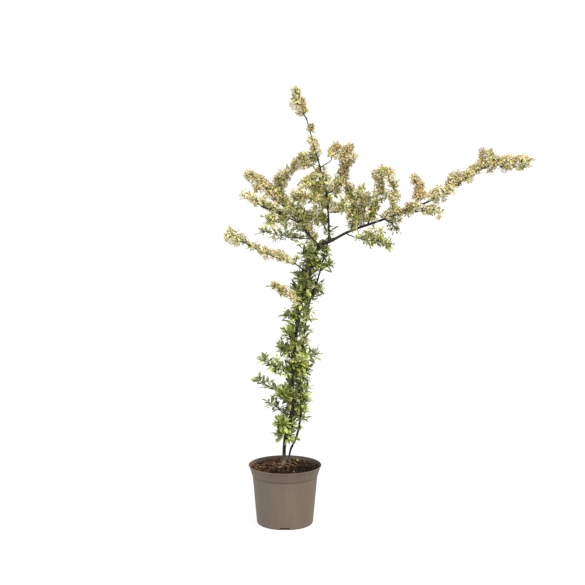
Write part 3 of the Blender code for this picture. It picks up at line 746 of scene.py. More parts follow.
def turned_out(direction, turn):
    """The unit vector square to a direction at a turn round it."""
    side = sideways(direction)
    return side * math.cos(turn) + direction.cross(side) * math.sin(turn)


# How each spray is dressed where it differs from its kind: its petals, share of buds, leaves, and
# how many more heads or tufts stand between two nodes, and how far these swell it. A few sprays have
# a bare foot, up to a share of their stem
DRESS = {
    "top_spike": (RIPE, 0.35, OLIVES, 5, 1.5),
    "leader_posy": (OLD, 0.1, OLIVES, 1, 0.8),
    "leader_cluster": (RIPE, 0.2, GOLDEN, 2, 0.9),
    "head_left": (RIPE, 0.1, OLIVES, 4, 1.35),
    "head_right": (OLD, 0.1, OLIVES, 2, 0.75),
    "arch_spray": (RIPE, 0.15, OLIVES, 2, 1.25),
    "left_upright": (RIPE, 0.15, OLIVES, 2, 1.3),
    "left_upper_spray": (RIPE, 0.2, OLIVES, 2, 1.2),
    "left_lower_spray": (OPEN, 0.2, OLIVES, 1, 0.9),
    "left_low_spray": (RIPE, 0.4, GOLDEN, 2, 1.0),
    "left_short_spray": (RIPE, 0.4, GOLDEN, 3, 1.0),
    "left_leafy": (OPEN, 0.5, GOLDEN, 5, 1.15),
    "left_thin_shoot": (OPEN, 0.5, PALE, 3, 1.0),
    "bough_blossom": (RIPE, 0.1, OLIVES, 1, 1.1),
    "bough_upright": (OLD, 0.1, OLIVES, 2, 1.0),
    "bough_outer": (OPEN, 0.2, OLIVES, 2, 1.25),
    "bough_far": (RIPE, 0.1, OLIVES, 2, 1.1),
    "bough_tip": (RIPE, 0.25, GOLDEN, 4, 1.45),
    "left_leg": (RIPE, 0.15, GOLDEN, 3, 1.1),
    "right_leg": (RIPE, 0.15, GOLDEN, 3, 1.0),
    "leg_leafy": (OPEN, 0.3, GOLDEN, 3, 1.2),
    "inner_lower": (OPEN, 0.4, GOLDEN, 4, 1.3),
    "side_shoot": (RIPE, 0.3, OLIVES, 1, 0.7),
    "hanging_shoot": (OPEN, 0.5, GOLDEN, 3, 0.7),
    "drooping_spur": (OPEN, 0.5, OLIVES, 4, 0.8),
    "bough_foot": (RIPE, 0.2, OLIVES, 2, 1.0),
    "bright_tuft": (OPEN, 0.3, BRIGHT, 2, 1.0),
    "basal_tuft": (OPEN, 0.3, GREEN, 2, 1.0),
    "right_tuft": (OPEN, 0.3, GREEN, 0, 1.0),
    "left_shoot_upper": (OPEN, 0.3, GREEN, 1, 1.0),
    "left_shoot_lower": (OPEN, 0.3, GREEN, 0, 1.0),
    "leaf_tuft": (OPEN, 0.3, LUSH, 1, 1.0),
    "middle_tuft": (OPEN, 0.3, LUSH, 1, 1.0),
}
BLOSSOM_DRESS = (OPEN, 0.2, OLIVES, 1, 1.0)
MIXED_DRESS = (RIPE, 0.3, OLIVES, 3, 1.2)
STEM_DRESS = (OPEN, 0.3, LUSH, 0, 1.0)

# Heads near a spray's tip bear more buds. What stands between two nodes leans forward and up, starts
# within these steps of its place, has a stalk of so many millimetres, and swells most at the foot
NEAR_TIP = 0.9
TIP_BUDS = 0.3
SPRAY_LEAN = (0.4, 0.6)
BETWEEN_PLACE = (0.3, 1.1)
BETWEEN_ROOM = 0.4
BETWEEN_STALK = (0, 5)
SWELL_FROM = 1.35
BARE_FOOT = {"head_left": 0.36, "hanging_shoot": 0.2, "mid_right": 0.25, "side_shoot": 0.25}
HEADS_BETWEEN = {"blossom": 0.85, "posy": 1.0, "mixed": 0.35, "leafy": 0.12}


def bunching(place):
    """Growth comes in bunches: how much longer or shorter than usual it is at a place."""
    return max(BUNCH_LEAST, 1 + BUNCH_STRENGTH * noise.noise(place / BUNCH_LENGTH))


def dress_of(name):
    """The petals, share of buds, leaf palette, tufts between nodes and girth of a spray."""
    kind = SPRAYS[name][4]
    usual = {"blossom": BLOSSOM_DRESS, "posy": BLOSSOM_DRESS, "mixed": MIXED_DRESS, "leafy": STEM_DRESS}
    return DRESS.get(name, usual[kind])


def leaf_size_of(name):
    """Large leaves on what grows straight from the stems' lower part, small ones in the crown."""
    limb, _, _, _, kind = SPRAYS[name]
    return STEM_LEAF if kind == "leafy" and limb in ("main_stem", "second_stem") else SPRAY_LEAF


def dress(name, path, growth, between, girth):
    """Bears a spray's fine growth on its stem."""
    kind = SPRAYS[name][4]
    rng = growth.rng
    nodes = [node for node in grow(name, path) if node[0] > BARE_FOOT.get(name, 0)]
    for share, place, _, lean, leaves, head in nodes:
        for leaf in leaves:
            growth.side_twig(leaf)
        if head:
            upturned = (lean + UP * HEAD_UPTURN).normalized()
            growth.flower_head(place, upturned, head, TIP_BUDS if share > NEAR_TIP else 0)
        growth.rosette(place, lean, 5)
    for before, after in zip(nodes, nodes[1:]):
        for step in range(between):
            ahead = (after[0] - before[0]) * (step + rng.uniform(*BETWEEN_PLACE)) / (between + BETWEEN_ROOM)
            share = before[0] + ahead
            place, direction = along(path, share)
            out = turned_out(direction, rng.uniform(0, math.tau))
            lean = leaning(out, direction, *SPRAY_LEAN)
            swell = (1 + (girth - 1) * (SWELL_FROM - share)) * bunching(place)
            if rng.random() < HEADS_BETWEEN[kind]:
                end = place + lean * rng.uniform(*BETWEEN_STALK) * MM * swell
                growth.twigs.append((place, place.lerp(end, 0.5), end))
                growth.flower_head(end, lean, rng.uniform(*BETWEEN_HEAD) * swell)
                growth.rosette(end, lean, 4)
            else:
                growth.spur(place, lean, rng.uniform(*BETWEEN_SPUR) * swell, 5, 0)
        if rng.random() < THORN_SHARE:
            place, direction = along(path, before[0])
            growth.thorn(place, direction, turned_out(direction, rng.uniform(0, math.tau)))


# Limbs bear tufts on spurs too. Each stretch of a limb: its start and end as shares, the distance
# between spurs and their least and greatest length in millimetres, leaves in a tuft, their size and
# palette, share of heads, petals, and the side to which the spurs lean. All spurs lean forward and up,
# more of them are short than long, and they start under the bark
ALL_ROUND = (0, 0, 0)
LIMB_LEAN = (0.45, 0.25)
SHORTNESS = 1.2
UNDER_BARK = 0.6
TUFTS = [
    ("main_stem", 0.10, 0.20, 3.0, (4, 19), 7, STEM_LEAF, GREEN, 0.0, OPEN, (0.1, 0.4, -0.2)),
    ("main_stem", 0.20, 0.50, 5.6, (6, 23), 6, STEM_LEAF, LUSH, 0.0, OPEN, (-0.4, 0.55, 0)),
    ("main_stem", 0.50, 0.95, 5.0, (3, 12), 6, STEM_LEAF, LUSH, 0.0, OPEN, (-0.1, 0.45, 0)),
    ("second_stem", 0.17, 0.50, 6.6, (4, 14), 6, STEM_LEAF, GREEN, 0.0, OPEN, (0.4, 0.6, 0)),
    ("second_stem", 0.50, 0.80, 8.5, (2, 9), 5, STEM_LEAF, LUSH, 0.0, OPEN, (0.1, 0.6, 0)),
    ("second_stem", 0.80, 0.97, 16, (1, 4), 4, STEM_LEAF, LUSH, 0.0, OPEN, ALL_ROUND),
    ("leader", 0.0, 0.07, 3.0, (1, 7), 5, SPRAY_LEAF, LUSH, 0.0, RIPE, ALL_ROUND),
    ("leader", 0.07, 0.26, 24, (1, 4), 3, SPRAY_LEAF, OLIVES, 0.0, RIPE, ALL_ROUND),
    ("leader", 0.28, 0.58, 3.6, (2, 17), 6, SPRAY_LEAF, GOLDEN, 0.2, RIPE, (-0.2, 0.7, 0)),
    ("right_bough", 0.16, 0.50, 17, (1, 6), 5, SPRAY_LEAF, OLIVES, 0.3, RIPE, (0, 0.3, 0.5)),
    ("right_bough", 0.72, 1.0, 5.5, (1, 8), 4, SPRAY_LEAF, OLIVES, 0.85, RIPE, (0, 0.4, 0.7)),
    ("left_upper", 0.20, 0.55, 2.4, (4, 28), 7, SPRAY_LEAF, GOLDEN, 0.25, OPEN, (0.7, 1.0, 1.2)),
    ("left_upper", 0.55, 0.98, 2.4, (4, 26), 6, SPRAY_LEAF, OLIVES, 0.45, RIPE, (0.6, 1.0, 1.2)),
    ("left_lower", 0.30, 0.98, 2.8, (3, 15), 6, SPRAY_LEAF, OLIVES, 0.4, OPEN, (0.2, 1.0, 1.4)),
    ("left_low", 0.30, 0.98, 8, (2, 9), 5, SPRAY_LEAF, PALE, 0.4, OPEN, (0, 0.4, 1)),
    ("upright_twig", 0.12, 1.0, 2.8, (4, 20), 6, SPRAY_LEAF, GOLDEN, 0.3, RIPE, (0, 0.8, 0)),
    ("arch_twig", 0.0, 1.0, 3.2, (2, 13), 5, SPRAY_LEAF, OLIVES, 0.6, OPEN, (0, 0.5, 0)),
]

# Finer shoots: the limb or spray that bears each one and how far along it, where its tip is in
# millimetres, its leaf palette, share of flower heads and petals
SHOOT_SPACING = 3.4
SHOOT_TUFTS = (1, 7)
SHOOT_STRETCH = (0.25, 1.0)
SHOOT_LEAVES = 5
SHOOT_BOW = 0.1
SHOOTS = [
    ("upright_twig", 0.35, (200, 45, 878), GOLDEN, 0.35, RIPE),
    ("upright_twig", 0.15, (207, 15, 848), GOLDEN, 0.35, RIPE),
    ("right_bough", 0.24, (231, -20, 837), GOLDEN, 0.3, RIPE),
    ("right_bough", 0.26, (218, -35, 819), GOLDEN, 0.3, RIPE),
    ("left_leg", 0.45, (262, -10, 864), PALE, 0.4, OPEN),
    ("left_leg", 0.75, (228, -25, 922), OLIVES, 0.7, OLD),
    ("leader", 0.16, (72, 0, 834), GOLDEN, 0.25, OPEN),
    ("leader", 0.1, (77, 30, 802), GOLDEN, 0.2, OPEN),
    ("leader", 0.22, (159, -40, 835), PALE, 0.3, OPEN),
    ("left_upper", 0.22, (21, 0, 781), LUSH, 0.1, OPEN),
    ("left_lower", 0.4, (0, -20, 786), PALE, 0.3, OPEN),
    ("left_leafy", 0.6, (-32, -90, 804), PALE, 0.3, OPEN),
    ("left_low_spray", 0.9, (-139, -100, 790), PALE, 0.3, RIPE),
    ("hanging_shoot", 0.35, (225, -60, 777), GOLDEN, 0.3, OPEN),
    ("hanging_shoot", 0.6, (246, -80, 782), GOLDEN, 0.3, OPEN),
    ("right_bough", 0.97, (500, -45, 979), OLIVES, 0.8, OLD),
    ("bough_tip", 0.15, (519, -55, 975), OLIVES, 0.8, RIPE),
    ("bough_tip", 0.7, (592, -55, 940), GOLDEN, 0.5, OPEN),
    ("bough_upright", 0.25, (346, -25, 894), OLIVES, 0.8, OLD),
    ("right_bough", 0.62, (389, -60, 888), OLIVES, 0.7, OPEN),
    ("right_bough", 0.74, (428, -45, 921), OLIVES, 0.8, RIPE),
    ("bough_underside", 0.5, (364, -80, 833), GOLDEN, 0.4, OPEN),
    ("bough_underside", 0.8, (390, -95, 827), GOLDEN, 0.4, OPEN),
    ("head_right", 0.2, (131, 55, 902), OLIVES, 0.6, RIPE),
    ("head_right", 0.85, (170, 85, 979), OLIVES, 0.8, OLD),
    ("left_upper_spray", 0.4, (-80, 90, 867), OLIVES, 0.7, OLD),
    ("left_upright", 0.45, (5, 80, 897), OLIVES, 0.7, RIPE),
    ("leader", 0.42, (44, 20, 881), GOLDEN, 0.4, RIPE),
    ("leader", 0.6, (46, 35, 938), OLIVES, 0.6, OPEN),
    ("mid_right", 0.5, (132, -40, 883), GOLDEN, 0.3, RIPE),
    ("right_bough", 0.13, (191, -15, 796), OLIVES, 0.4, RIPE),
    ("right_bough", 0.27, (208, -10, 864), GOLDEN, 0.3, RIPE),
    ("drooping_spur", 0.3, (288, -40, 807), OLIVES, 0.2, OPEN),
    ("bough_tip", 0.8, (609, -60, 943), GOLDEN, 0.4, OPEN),
    ("right_bough", 0.9, (467, -60, 918), OLIVES, 0.8, RIPE),
    ("second_stem", 0.9, (113, 0, 719), LUSH, 0, OPEN),
    ("left_shoot_upper", 0.3, (-26, -10, 442), BRIGHT, 0, OPEN),
]

# Single long leaves that stand off the limbs: limb, share of the way up it, and where the leaf's tip
# reaches from there in millimetres
LONE_LEAF_SHARE = 0.8
LONE_LEAF_FACE = Vector((0.2, -0.8, 1))
LONE_LEAVES = [
    ("main_stem", 0.895, (-49, -12, 15)),
    ("main_stem", 0.805, (-35, -10, 20)),
    ("main_stem", 0.785, (-33, 8, 13)),
    ("main_stem", 0.65, (-29, -12, 3)),
    ("main_stem", 0.61, (-40, 6, 9)),
    ("main_stem", 0.565, (-43, -10, 16)),
    ("main_stem", 0.51, (-47, 8, 5)),
    ("second_stem", 0.88, (26, -8, -10)),
    ("second_stem", 0.945, (22, 6, -5)),
    ("second_stem", 0.805, (24, 8, 13)),
    ("second_stem", 0.74, (29, -10, 16)),
    ("second_stem", 0.645, (32, 5, 1)),
    ("leader", 0.055, (-18, -8, 31)),
    ("leader", 0.07, (25, 10, 17)),
    ("left_upper", 0.105, (-48, -10, -11)),
    ("left_upper", 0.45, (-25, -14, -24)),
    ("main_stem", 0.16, (-30, -14, 13)),
    ("main_stem", 0.14, (-34, -6, -2)),
    ("main_stem", 0.12, (-28, -12, -7)),
    ("main_stem", 0.13, (40, -14, -7)),
    ("second_stem", 0.30, (20, -14, -8)),
    ("second_stem", 0.345, (22, -10, -12)),
    ("main_stem", 0.70, (28, 24, 12)),
    ("main_stem", 0.58, (-20, 34, 14)),
    ("main_stem", 0.84, (-14, 34, 12)),
    ("second_stem", 0.56, (16, 30, 12)),
]


def clothe(path, radius, stretch, spacing, lengths, leaf_count, head_share, lean_side, growth):
    """Spurs with their tufts along a stretch of a stem, with a thorn here and there."""
    rng = growth.rng
    first, last = stretch
    count = max(2, round(path_length(path) * (last - first) / (spacing * MM)))
    turn = rng.uniform(0, math.tau)
    for index in range(count):
        share = first + (last - first) * (index + rng.random()) / count
        place, direction = along(path, share)
        turn += GOLDEN_TURN
        out = (turned_out(direction, turn) + Vector(lean_side)).normalized()
        lean = leaning(out, direction, *LIMB_LEAN)
        length = (lengths[0] + (lengths[1] - lengths[0]) * rng.random() ** SHORTNESS) * MM * bunching(place)
        growth.spur(place + out * radius * UNDER_BARK, lean, length, leaf_count, head_share)
        if rng.random() < STEM_THORN_SHARE:
            growth.thorn(place - out * radius * UNDER_BARK, direction, -out)


def finer_shoot(bearer, share, tip, head_share, growth):
    """A thin shoot from a limb or a spray to its own tip, tufted from near its foot."""
    foot, direction = along(limb_path(bearer) if bearer in LIMBS else spray_stem(bearer), share)
    reach = Vector(tip) * MM - foot
    middle = foot + reach / 2 + direction * reach.length * SHOOT_BOW
    growth.twigs.append((foot, middle, foot + reach))
    path = smooth_path([foot, middle, foot + reach], STEM_STEP)
    tufts = (SHOOT_SPACING, SHOOT_TUFTS, SHOOT_LEAVES, head_share, ALL_ROUND)
    clothe(path, STEM_TIP_RADIUS, SHOOT_STRETCH, *tufts, growth)


def single_leaves(growth):
    """The lone long leaves, each at the end of a thin twig."""
    for limb, share, reach in LONE_LEAVES:
        place, _ = along(limb_path(limb), share)
        tip = place + Vector(reach) * MM
        blade = (tip - place).normalized()
        root = tip - blade * min(LONE_LEAF[1], (tip - place).length * LONE_LEAF_SHARE)
        growth.twigs.append((place, place.lerp(root, 0.5) - UP * MM, root))
        growth.leaf(root, blade, (tip - root).length, growth.rng.choice((DEEP, MID)), LONE_LEAF_FACE)


# Small shapes, drawn one long: along Y the length, along X the width, up Z the face


def leaf_shape(curl, fold):
    """A firethorn leaf in its own outline: widest past the middle, on a short stalk, folded a little
    along the midrib and curled down towards its blunt tip. Its corners and triangles."""
    stations = [(0.0, 0.035), (0.10, 0.06), (0.32, 0.36), (0.58, 0.50), (0.80, 0.40), (0.94, 0.17)]
    corners = []
    for along_share, half in stations:
        drop = -curl * along_share**2
        corners += [
            (-half, along_share, drop + fold * half),
            (0, along_share, drop),
            (half, along_share, drop + fold * half),
        ]
    corners.append((0, 1, -curl))
    faces = []
    for station in range(len(stations) - 1):
        low, high = 3 * station, 3 * station + 3
        for side in (0, 1):
            faces.append((low + side, low + side + 1, high + side + 1))
            faces.append((low + side, high + side + 1, high + side))
    last = 3 * (len(stations) - 1)
    tip = len(corners) - 1
    faces += [(last, last + 1, tip), (last + 1, last + 2, tip)]
    return corners, faces


def petals_shape(lift, reach, breadth):
    """Five round petals, a little hollow, that rise towards their edge by the lift. Each is a fan."""
    half = [(0.24, -0.15), (0.40, -0.20), (0.50, -0.07)]
    outline = [(0.07, 0), *half, *((out, -across) for out, across in reversed(half))]
    corners, faces = [], []
    for petal in range(5):
        turn = math.tau * petal / 5
        start = len(corners)
        for out, across in outline:
            out, across = out * reach, across * breadth
            height = lift * out + 0.8 * across**2 + 0.012 * (petal % 2)
            x = out * math.cos(turn) - across * math.sin(turn)
            y = out * math.sin(turn) + across * math.cos(turn)
            corners.append((x, y, height))
        for index in range(1, len(outline) - 1):
            faces.append((start, start + index, start + index + 1))
    return corners, faces


def stamens_shape(count, spread, height):
    """Stamens that splay from the middle, each a slim stalk that widens to its anther."""
    corners, faces = [], []
    for index in range(count):
        turn = math.tau * (index + 0.3) / count
        reach = spread * (0.75 + 0.25 * (index % 2))
        tip = Vector((reach * math.cos(turn), reach * math.sin(turn), height * (0.85 + 0.15 * (index % 3))))
        start = len(corners)
        corners.append((0.2 * tip.x, 0.2 * tip.y, 0.02))
        for corner in range(3):
            around = turn + math.tau * corner / 3
            corners.append((tip.x + 0.035 * math.cos(around), tip.y + 0.035 * math.sin(around), tip.z))
        faces += [(start, start + 1, start + 2), (start, start + 2, start + 3)]
        faces += [(start, start + 3, start + 1), (start + 1, start + 3, start + 2)]
    return corners, faces


def cone_shape(sides, radius, foot, tip):
    """A small cone of a few sides, such as the eye of a flower or the cup under it."""
    turns = [math.tau * index / sides for index in range(sides)]
    corners = [(radius * math.cos(turn), radius * math.sin(turn), foot) for turn in turns]
    corners.append((0, 0, tip))
    faces = [(index, (index + 1) % sides, sides) for index in range(sides)]
    return corners, faces


def bud_shape():
    """A closed bud: a small ball of four sides, pointed at its foot."""
    corners = [(0, 0, -0.6)]
    for height, radius in ((-0.1, 0.46), (0.3, 0.40)):
        turns = [math.tau * index / 4 + height for index in range(4)]
        corners += [(radius * math.cos(turn), radius * math.sin(turn), height) for turn in turns]
    corners.append((0, 0, 0.52))
    faces = []
    for index in range(4):
        after = (index + 1) % 4
        faces.append((0, 1 + after, 1 + index))
        faces.append((1 + index, 1 + after, 5 + after))
        faces.append((1 + index, 5 + after, 5 + index))
        faces.append((5 + index, 5 + after, 9))
    return corners, faces


LEAF_SHAPES = [leaf_shape(0.06, 0.05), leaf_shape(0.16, 0.03), leaf_shape(-0.03, 0.07)]
PETAL_SHAPES = [petals_shape(0.25, 1, 1), petals_shape(0.7, 0.88, 0.95), petals_shape(0.0, 1, 0.9)]

# Stamens, eye and cup
FLOWER_SHAPES = (
    stamens_shape(6, 0.22, 0.28),
    cone_shape(4, 0.11, 0.03, 0.13),
    cone_shape(4, 0.16, 0.0, -0.22),
)
STALK_SHAPE = cone_shape(3, 1, 1, 0)
BUD_SHAPE = bud_shape()


def add_leaves(bundle, growth):
    """Puts a spray's leaves into a bundle, each of one of a few curls."""
    for number, (corners, faces) in enumerate(LEAF_SHAPES):
        chosen = [leaf for index, leaf in enumerate(growth.leaves) if index % len(LEAF_SHAPES) == number]
        if not chosen:
            continue
        roots, blades, fronts, lengths, widths, tints = zip(*chosen)
        blades = unit(np.array(blades))
        fronts = unit(np.array(fronts))
        lengths = np.array(lengths)[:, None]
        across = np.cross(blades, fronts) * np.array(widths)[:, None]
        bundle.add(copies_of(corners, roots, across, blades * lengths, fronts * lengths), faces, tints)


def upright_axes(axes, across, sizes):
    """The three axes of small things that face along theirs, each as long as its thing is wide."""
    sizes = np.array(sizes)[:, None]
    across = np.array(across) * sizes
    up = unit(np.array(axes)) * sizes
    return across, np.cross(up, across) / sizes, up


def add_flowers(bundle, growth):
    """Puts a spray's flowers, buds and their stalks into a bundle."""
    for number, petals in enumerate(PETAL_SHAPES):
        chosen = [flower for flower in growth.flowers if int(flower[5] * len(PETAL_SHAPES)) == number]
        if not chosen:
            continue
        places, axes, sizes, spins, tints, _ = zip(*chosen)
        across = [turned_out(axis, spin) for axis, spin in zip(axes, spins)]
        frames = upright_axes(axes, across, sizes)
        for (corners, faces), stuff in zip((petals, *FLOWER_SHAPES), (tints, STAMEN, EYE, STALK)):
            bundle.add(copies_of(corners, places, *frames), faces, stuff)
    if growth.buds:
        places, axes, sizes = zip(*growth.buds)
        frames = upright_axes(axes, [sideways(axis) for axis in axes], sizes)
        bundle.add(copies_of(BUD_SHAPE[0], places, *frames), BUD_SHAPE[1], BUD)
    if growth.stalks:
        feet, tips = (np.array(ends) for ends in zip(*growth.stalks))
        up = tips - feet
        across = np.array([sideways(Vector(stalk)) for stalk in up]) * STALK_RADIUS
        ahead = unit(np.cross(up, across)) * STALK_RADIUS
        bundle.add(copies_of(STALK_SHAPE[0], feet, across, ahead, up), STALK_SHAPE[1], STALK)


def add_twigs(bundle, growth, stem):
    """Puts a spray's stem, side twigs and thorns into a bundle."""
    if stem:
        bundle.add(*stem_tube(stem, growth.rng), 0)
    if growth.twigs:
        paths = np.array([[tuple(point) for point in twig] for twig in growth.twigs])
        foot, tip = SIDE_TWIG_RADIUS
        radii = np.tile([foot, (foot + tip) / 2, tip], (len(paths), 1))
        bundle.add(*tubes(paths, radii, 4), 0)
    if growth.thorns:
        shares = (0, 0.5, 1)
        paths = np.array([[tuple(foot.lerp(tip, share)) for share in shares] for foot, tip in growth.thorns])
        radii = np.tile(THORN_RADII, (len(paths), 1))
        bundle.add(*tubes(paths, radii, 4), 1)


def stem_tube(path, rng):
    """A spray's woody stem: it tapers, swells at its foot and at each bud, and jogs a little there."""
    rings = len(path)
    jogs = [Vector([rng.gauss(0, STEM_JOG) for _ in range(3)]) for _ in range(rings)]
    jogs[0] = Vector()
    points = [point + jog for point, jog in zip(path, jogs)]
    shares = np.linspace(0, 1, rings)
    radii = STEM_RADIUS + (STEM_TIP_RADIUS - STEM_RADIUS) * shares
    radii = radii * (1 + 0.10 * np.sin(shares * rings * 1.6))
    radii = radii + STEM_FOOT_SWELL * np.exp(-shares * rings / 1.5)
    return tubes([points], [radii], 8)


# Bark of the stems and boughs

FLARE_HEIGHT = 14 * MM
FLARE_RADIUS = 2.6 * MM
FLARE_LOBES = 4
BARK_SIDES = 16
BARK_RIDGE = 0.32 * MM
KNOT_SPACING = 31 * MM
KNOT_GAPS = (0.6, 1.4)
KNOT_SIZES = (0.5, 1.2)
KNOT_HEIGHT = 0.7 * MM
KNOT_REACH = 3.5 * MM
BOUGH_COLLAR = 1.1 * MM
BOUGH_COLLAR_REACH = 5 * MM
SWELL_LENGTH = 16 * MM
BARK_GRAIN = 0.9 * MM
BARK_GRAIN_SIZES = (1.7 * MM, 0.9 * MM)
BARK_GRAIN_HEIGHT = 0.10 * MM
BURR_LUMP_SIZE = 4 * MM
BURRS = [((88, 0, 733), 6.4), ((101, 1, 740), 7.0), ((112, 2, 745), 7.2), ((122, 0, 748), 5.6)]
MOTTLE_SIZE = 9 * MM
LENTICEL_SPACING = 3.2 * MM
RIDGE_SPACING = 0.8 * MM
DUST_FOOT = 156 * MM
DUST_TOP = 186 * MM


def bark_radii(name, path):
    """The uneven radii of a limb, one for each side of each ring."""
    rng = random.Random(name + " bark")
    length = path_length(path)
    stands = LIMBS[name][0] == STANDS
    knots = []
    place = rng.uniform(0.3, 1) * KNOT_SPACING
    while place < length:
        knots.append((place, rng.uniform(0, math.tau), rng.uniform(*KNOT_SIZES)))
        place += KNOT_SPACING * rng.uniform(*KNOT_GAPS)
    offset = rng.uniform(0, 50)
    radii = []
    for ring in range(len(path)):
        share = ring / (len(path) - 1)
        height = share * length
        base = limb_radius(name, share)
        row = []
        for side in range(BARK_SIDES):
            turn = math.tau * side / BARK_SIDES
            spot = Vector((math.cos(turn) * 1.6, math.sin(turn) * 1.6, height / SWELL_LENGTH + offset))
            radius = base * (1 + 0.05 * noise.noise(spot * 0.6)) + BARK_RIDGE * noise.noise(spot * 2.3)
            for knot, facing, size in knots:
                near = math.exp(-(((height - knot) / KNOT_REACH) ** 2))
                radius += KNOT_HEIGHT * size * near * (0.55 + 0.45 * math.cos(turn - facing))
            if name == "main_stem":
                spread = FLARE_RADIUS * max(0, 1 - height / FLARE_HEIGHT) ** 2
                radius += spread * (0.8 + 0.35 * math.cos(FLARE_LOBES * turn + offset))
            elif not stands:
                radius += BOUGH_COLLAR * math.exp(-height / BOUGH_COLLAR_REACH)
            row.append(radius)
        radii.append(row)
    return radii


def make_bark(stuff):
    """The stems and boughs as one skin: rough tubes and the burr where they part, made one by a
    voxel remesh, then grained along the normals."""
    corners, faces, count = [], [], 0
    for name in LIMBS:
        path = limb_path(name)
        made, triangles = tubes([path], [bark_radii(name, path)], BARK_SIDES)
        corners.append(made[0])
        faces.append(triangles + count)
        count += len(made[0])
    rough = mesh_object("bark", np.concatenate(corners), np.concatenate(faces), [stuff])
    bm = bmesh.new()
    bm.from_mesh(rough.data)
    for place, radius in BURRS:
        lump = bmesh.ops.create_icosphere(bm, subdivisions=3, radius=radius * MM)["verts"]
        for vertex in lump:
            vertex.co *= 1 + 0.22 * noise.noise(vertex.co / BURR_LUMP_SIZE + Vector(place))
            vertex.co += Vector(place) * MM
    bm.to_mesh(rough.data)
    bm.free()
    remesh = rough.modifiers.new("Remesh", "REMESH")
    remesh.mode = "VOXEL"
    remesh.voxel_size = BARK_GRAIN
    mesh = bpy.data.meshes.new_from_object(rough.evaluated_get(bpy.context.evaluated_depsgraph_get()))
    rough.modifiers.clear()
    rough.data = mesh
    spots = np.empty(len(mesh.vertices) * 3)
    normals = np.empty(len(mesh.vertices) * 3)
    mesh.vertices.foreach_get("co", spots)
    mesh.vertices.foreach_get("normal", normals)
    spots, normals = spots.reshape(-1, 3), normals.reshape(-1, 3)
    coarse, fine = (
        np.array([noise.noise(Vector(spot)) for spot in spots / size]) for size in BARK_GRAIN_SIZES
    )
    spots += normals * (coarse + 0.6 * fine)[:, None] * BARK_GRAIN_HEIGHT
    mesh.vertices.foreach_set("co", spots.ravel())
    mesh.shade_smooth()
    settle(rough, LIMBS)


def bark_material():
    """Young firethorn bark: near black and finely ridged, mottled grey-brown, with pale specks of
    lenticels, and greyer with dust and splashes near the compost."""
    bark, tree, shader = new_material("dark_ridged_firethorn_bark", "#3B3029", 0.72)
    spot = add_node(tree, "ShaderNodeNewGeometry", {})["Position"]
    cloud = add_node(tree, "ShaderNodeTexNoise", {"Vector": spot, "Scale": 1 / MOTTLE_SIZE, "Detail": 4.0})
    browns = [(0.32, "#1B1A14"), (0.55, "#2D2921"), (0.74, "#463E32")]
    mottle = add_node(tree, "ShaderNodeValToRGB", {"Fac": cloud["Fac"], "stops": browns})
    cells = add_node(tree, "ShaderNodeTexVoronoi", {"Vector": spot, "Scale": 1 / LENTICEL_SPACING})
    edge = [(0.10, "#FFFFFF"), (0.20, "#000000")]
    dots = add_node(tree, "ShaderNodeValToRGB", {"Fac": cells["Distance"], "stops": edge})
    parts = {"data_type": "RGBA", "Factor": dots["Color"], "A": mottle["Color"]}
    specked = add_node(tree, "ShaderNodeMix", {**parts, "B": plain_colour("#635848")})
    height = add_node(tree, "ShaderNodeSeparateXYZ", {"Vector": spot})["Z"]
    low = add_node(tree, "ShaderNodeMapRange", {"Value": height, "From Min": DUST_TOP, "From Max": DUST_FOOT})
    parts = {"data_type": "RGBA", "Factor": low["Result"], "A": specked["Result"]}
    dusty = add_node(tree, "ShaderNodeMix", {**parts, "B": plain_colour("#75695A")})
    tree.links.new(dusty["Result"], shader["Base Color"])
    ridges = add_node(tree, "ShaderNodeTexNoise", {"Vector": spot, "Scale": 1 / RIDGE_SPACING, "Detail": 3.0})
    bump = add_node(tree, "ShaderNodeBump", {"Height": ridges["Fac"], "Strength": 0.5, "Distance": 0.3 * MM})
    tree.links.new(bump["Normal"], shader["Normal"])
    return bark


def twig_materials():
    """Thin twigs of the year before, dark and satin, and thorns with their red-brown points."""
    return [
        new_material("satin_twig_bark", "#3F372A", 0.6)[0],
        new_material("red_brown_thorn", "#5A3A2A", 0.45)[0],
    ]


# All the small growth


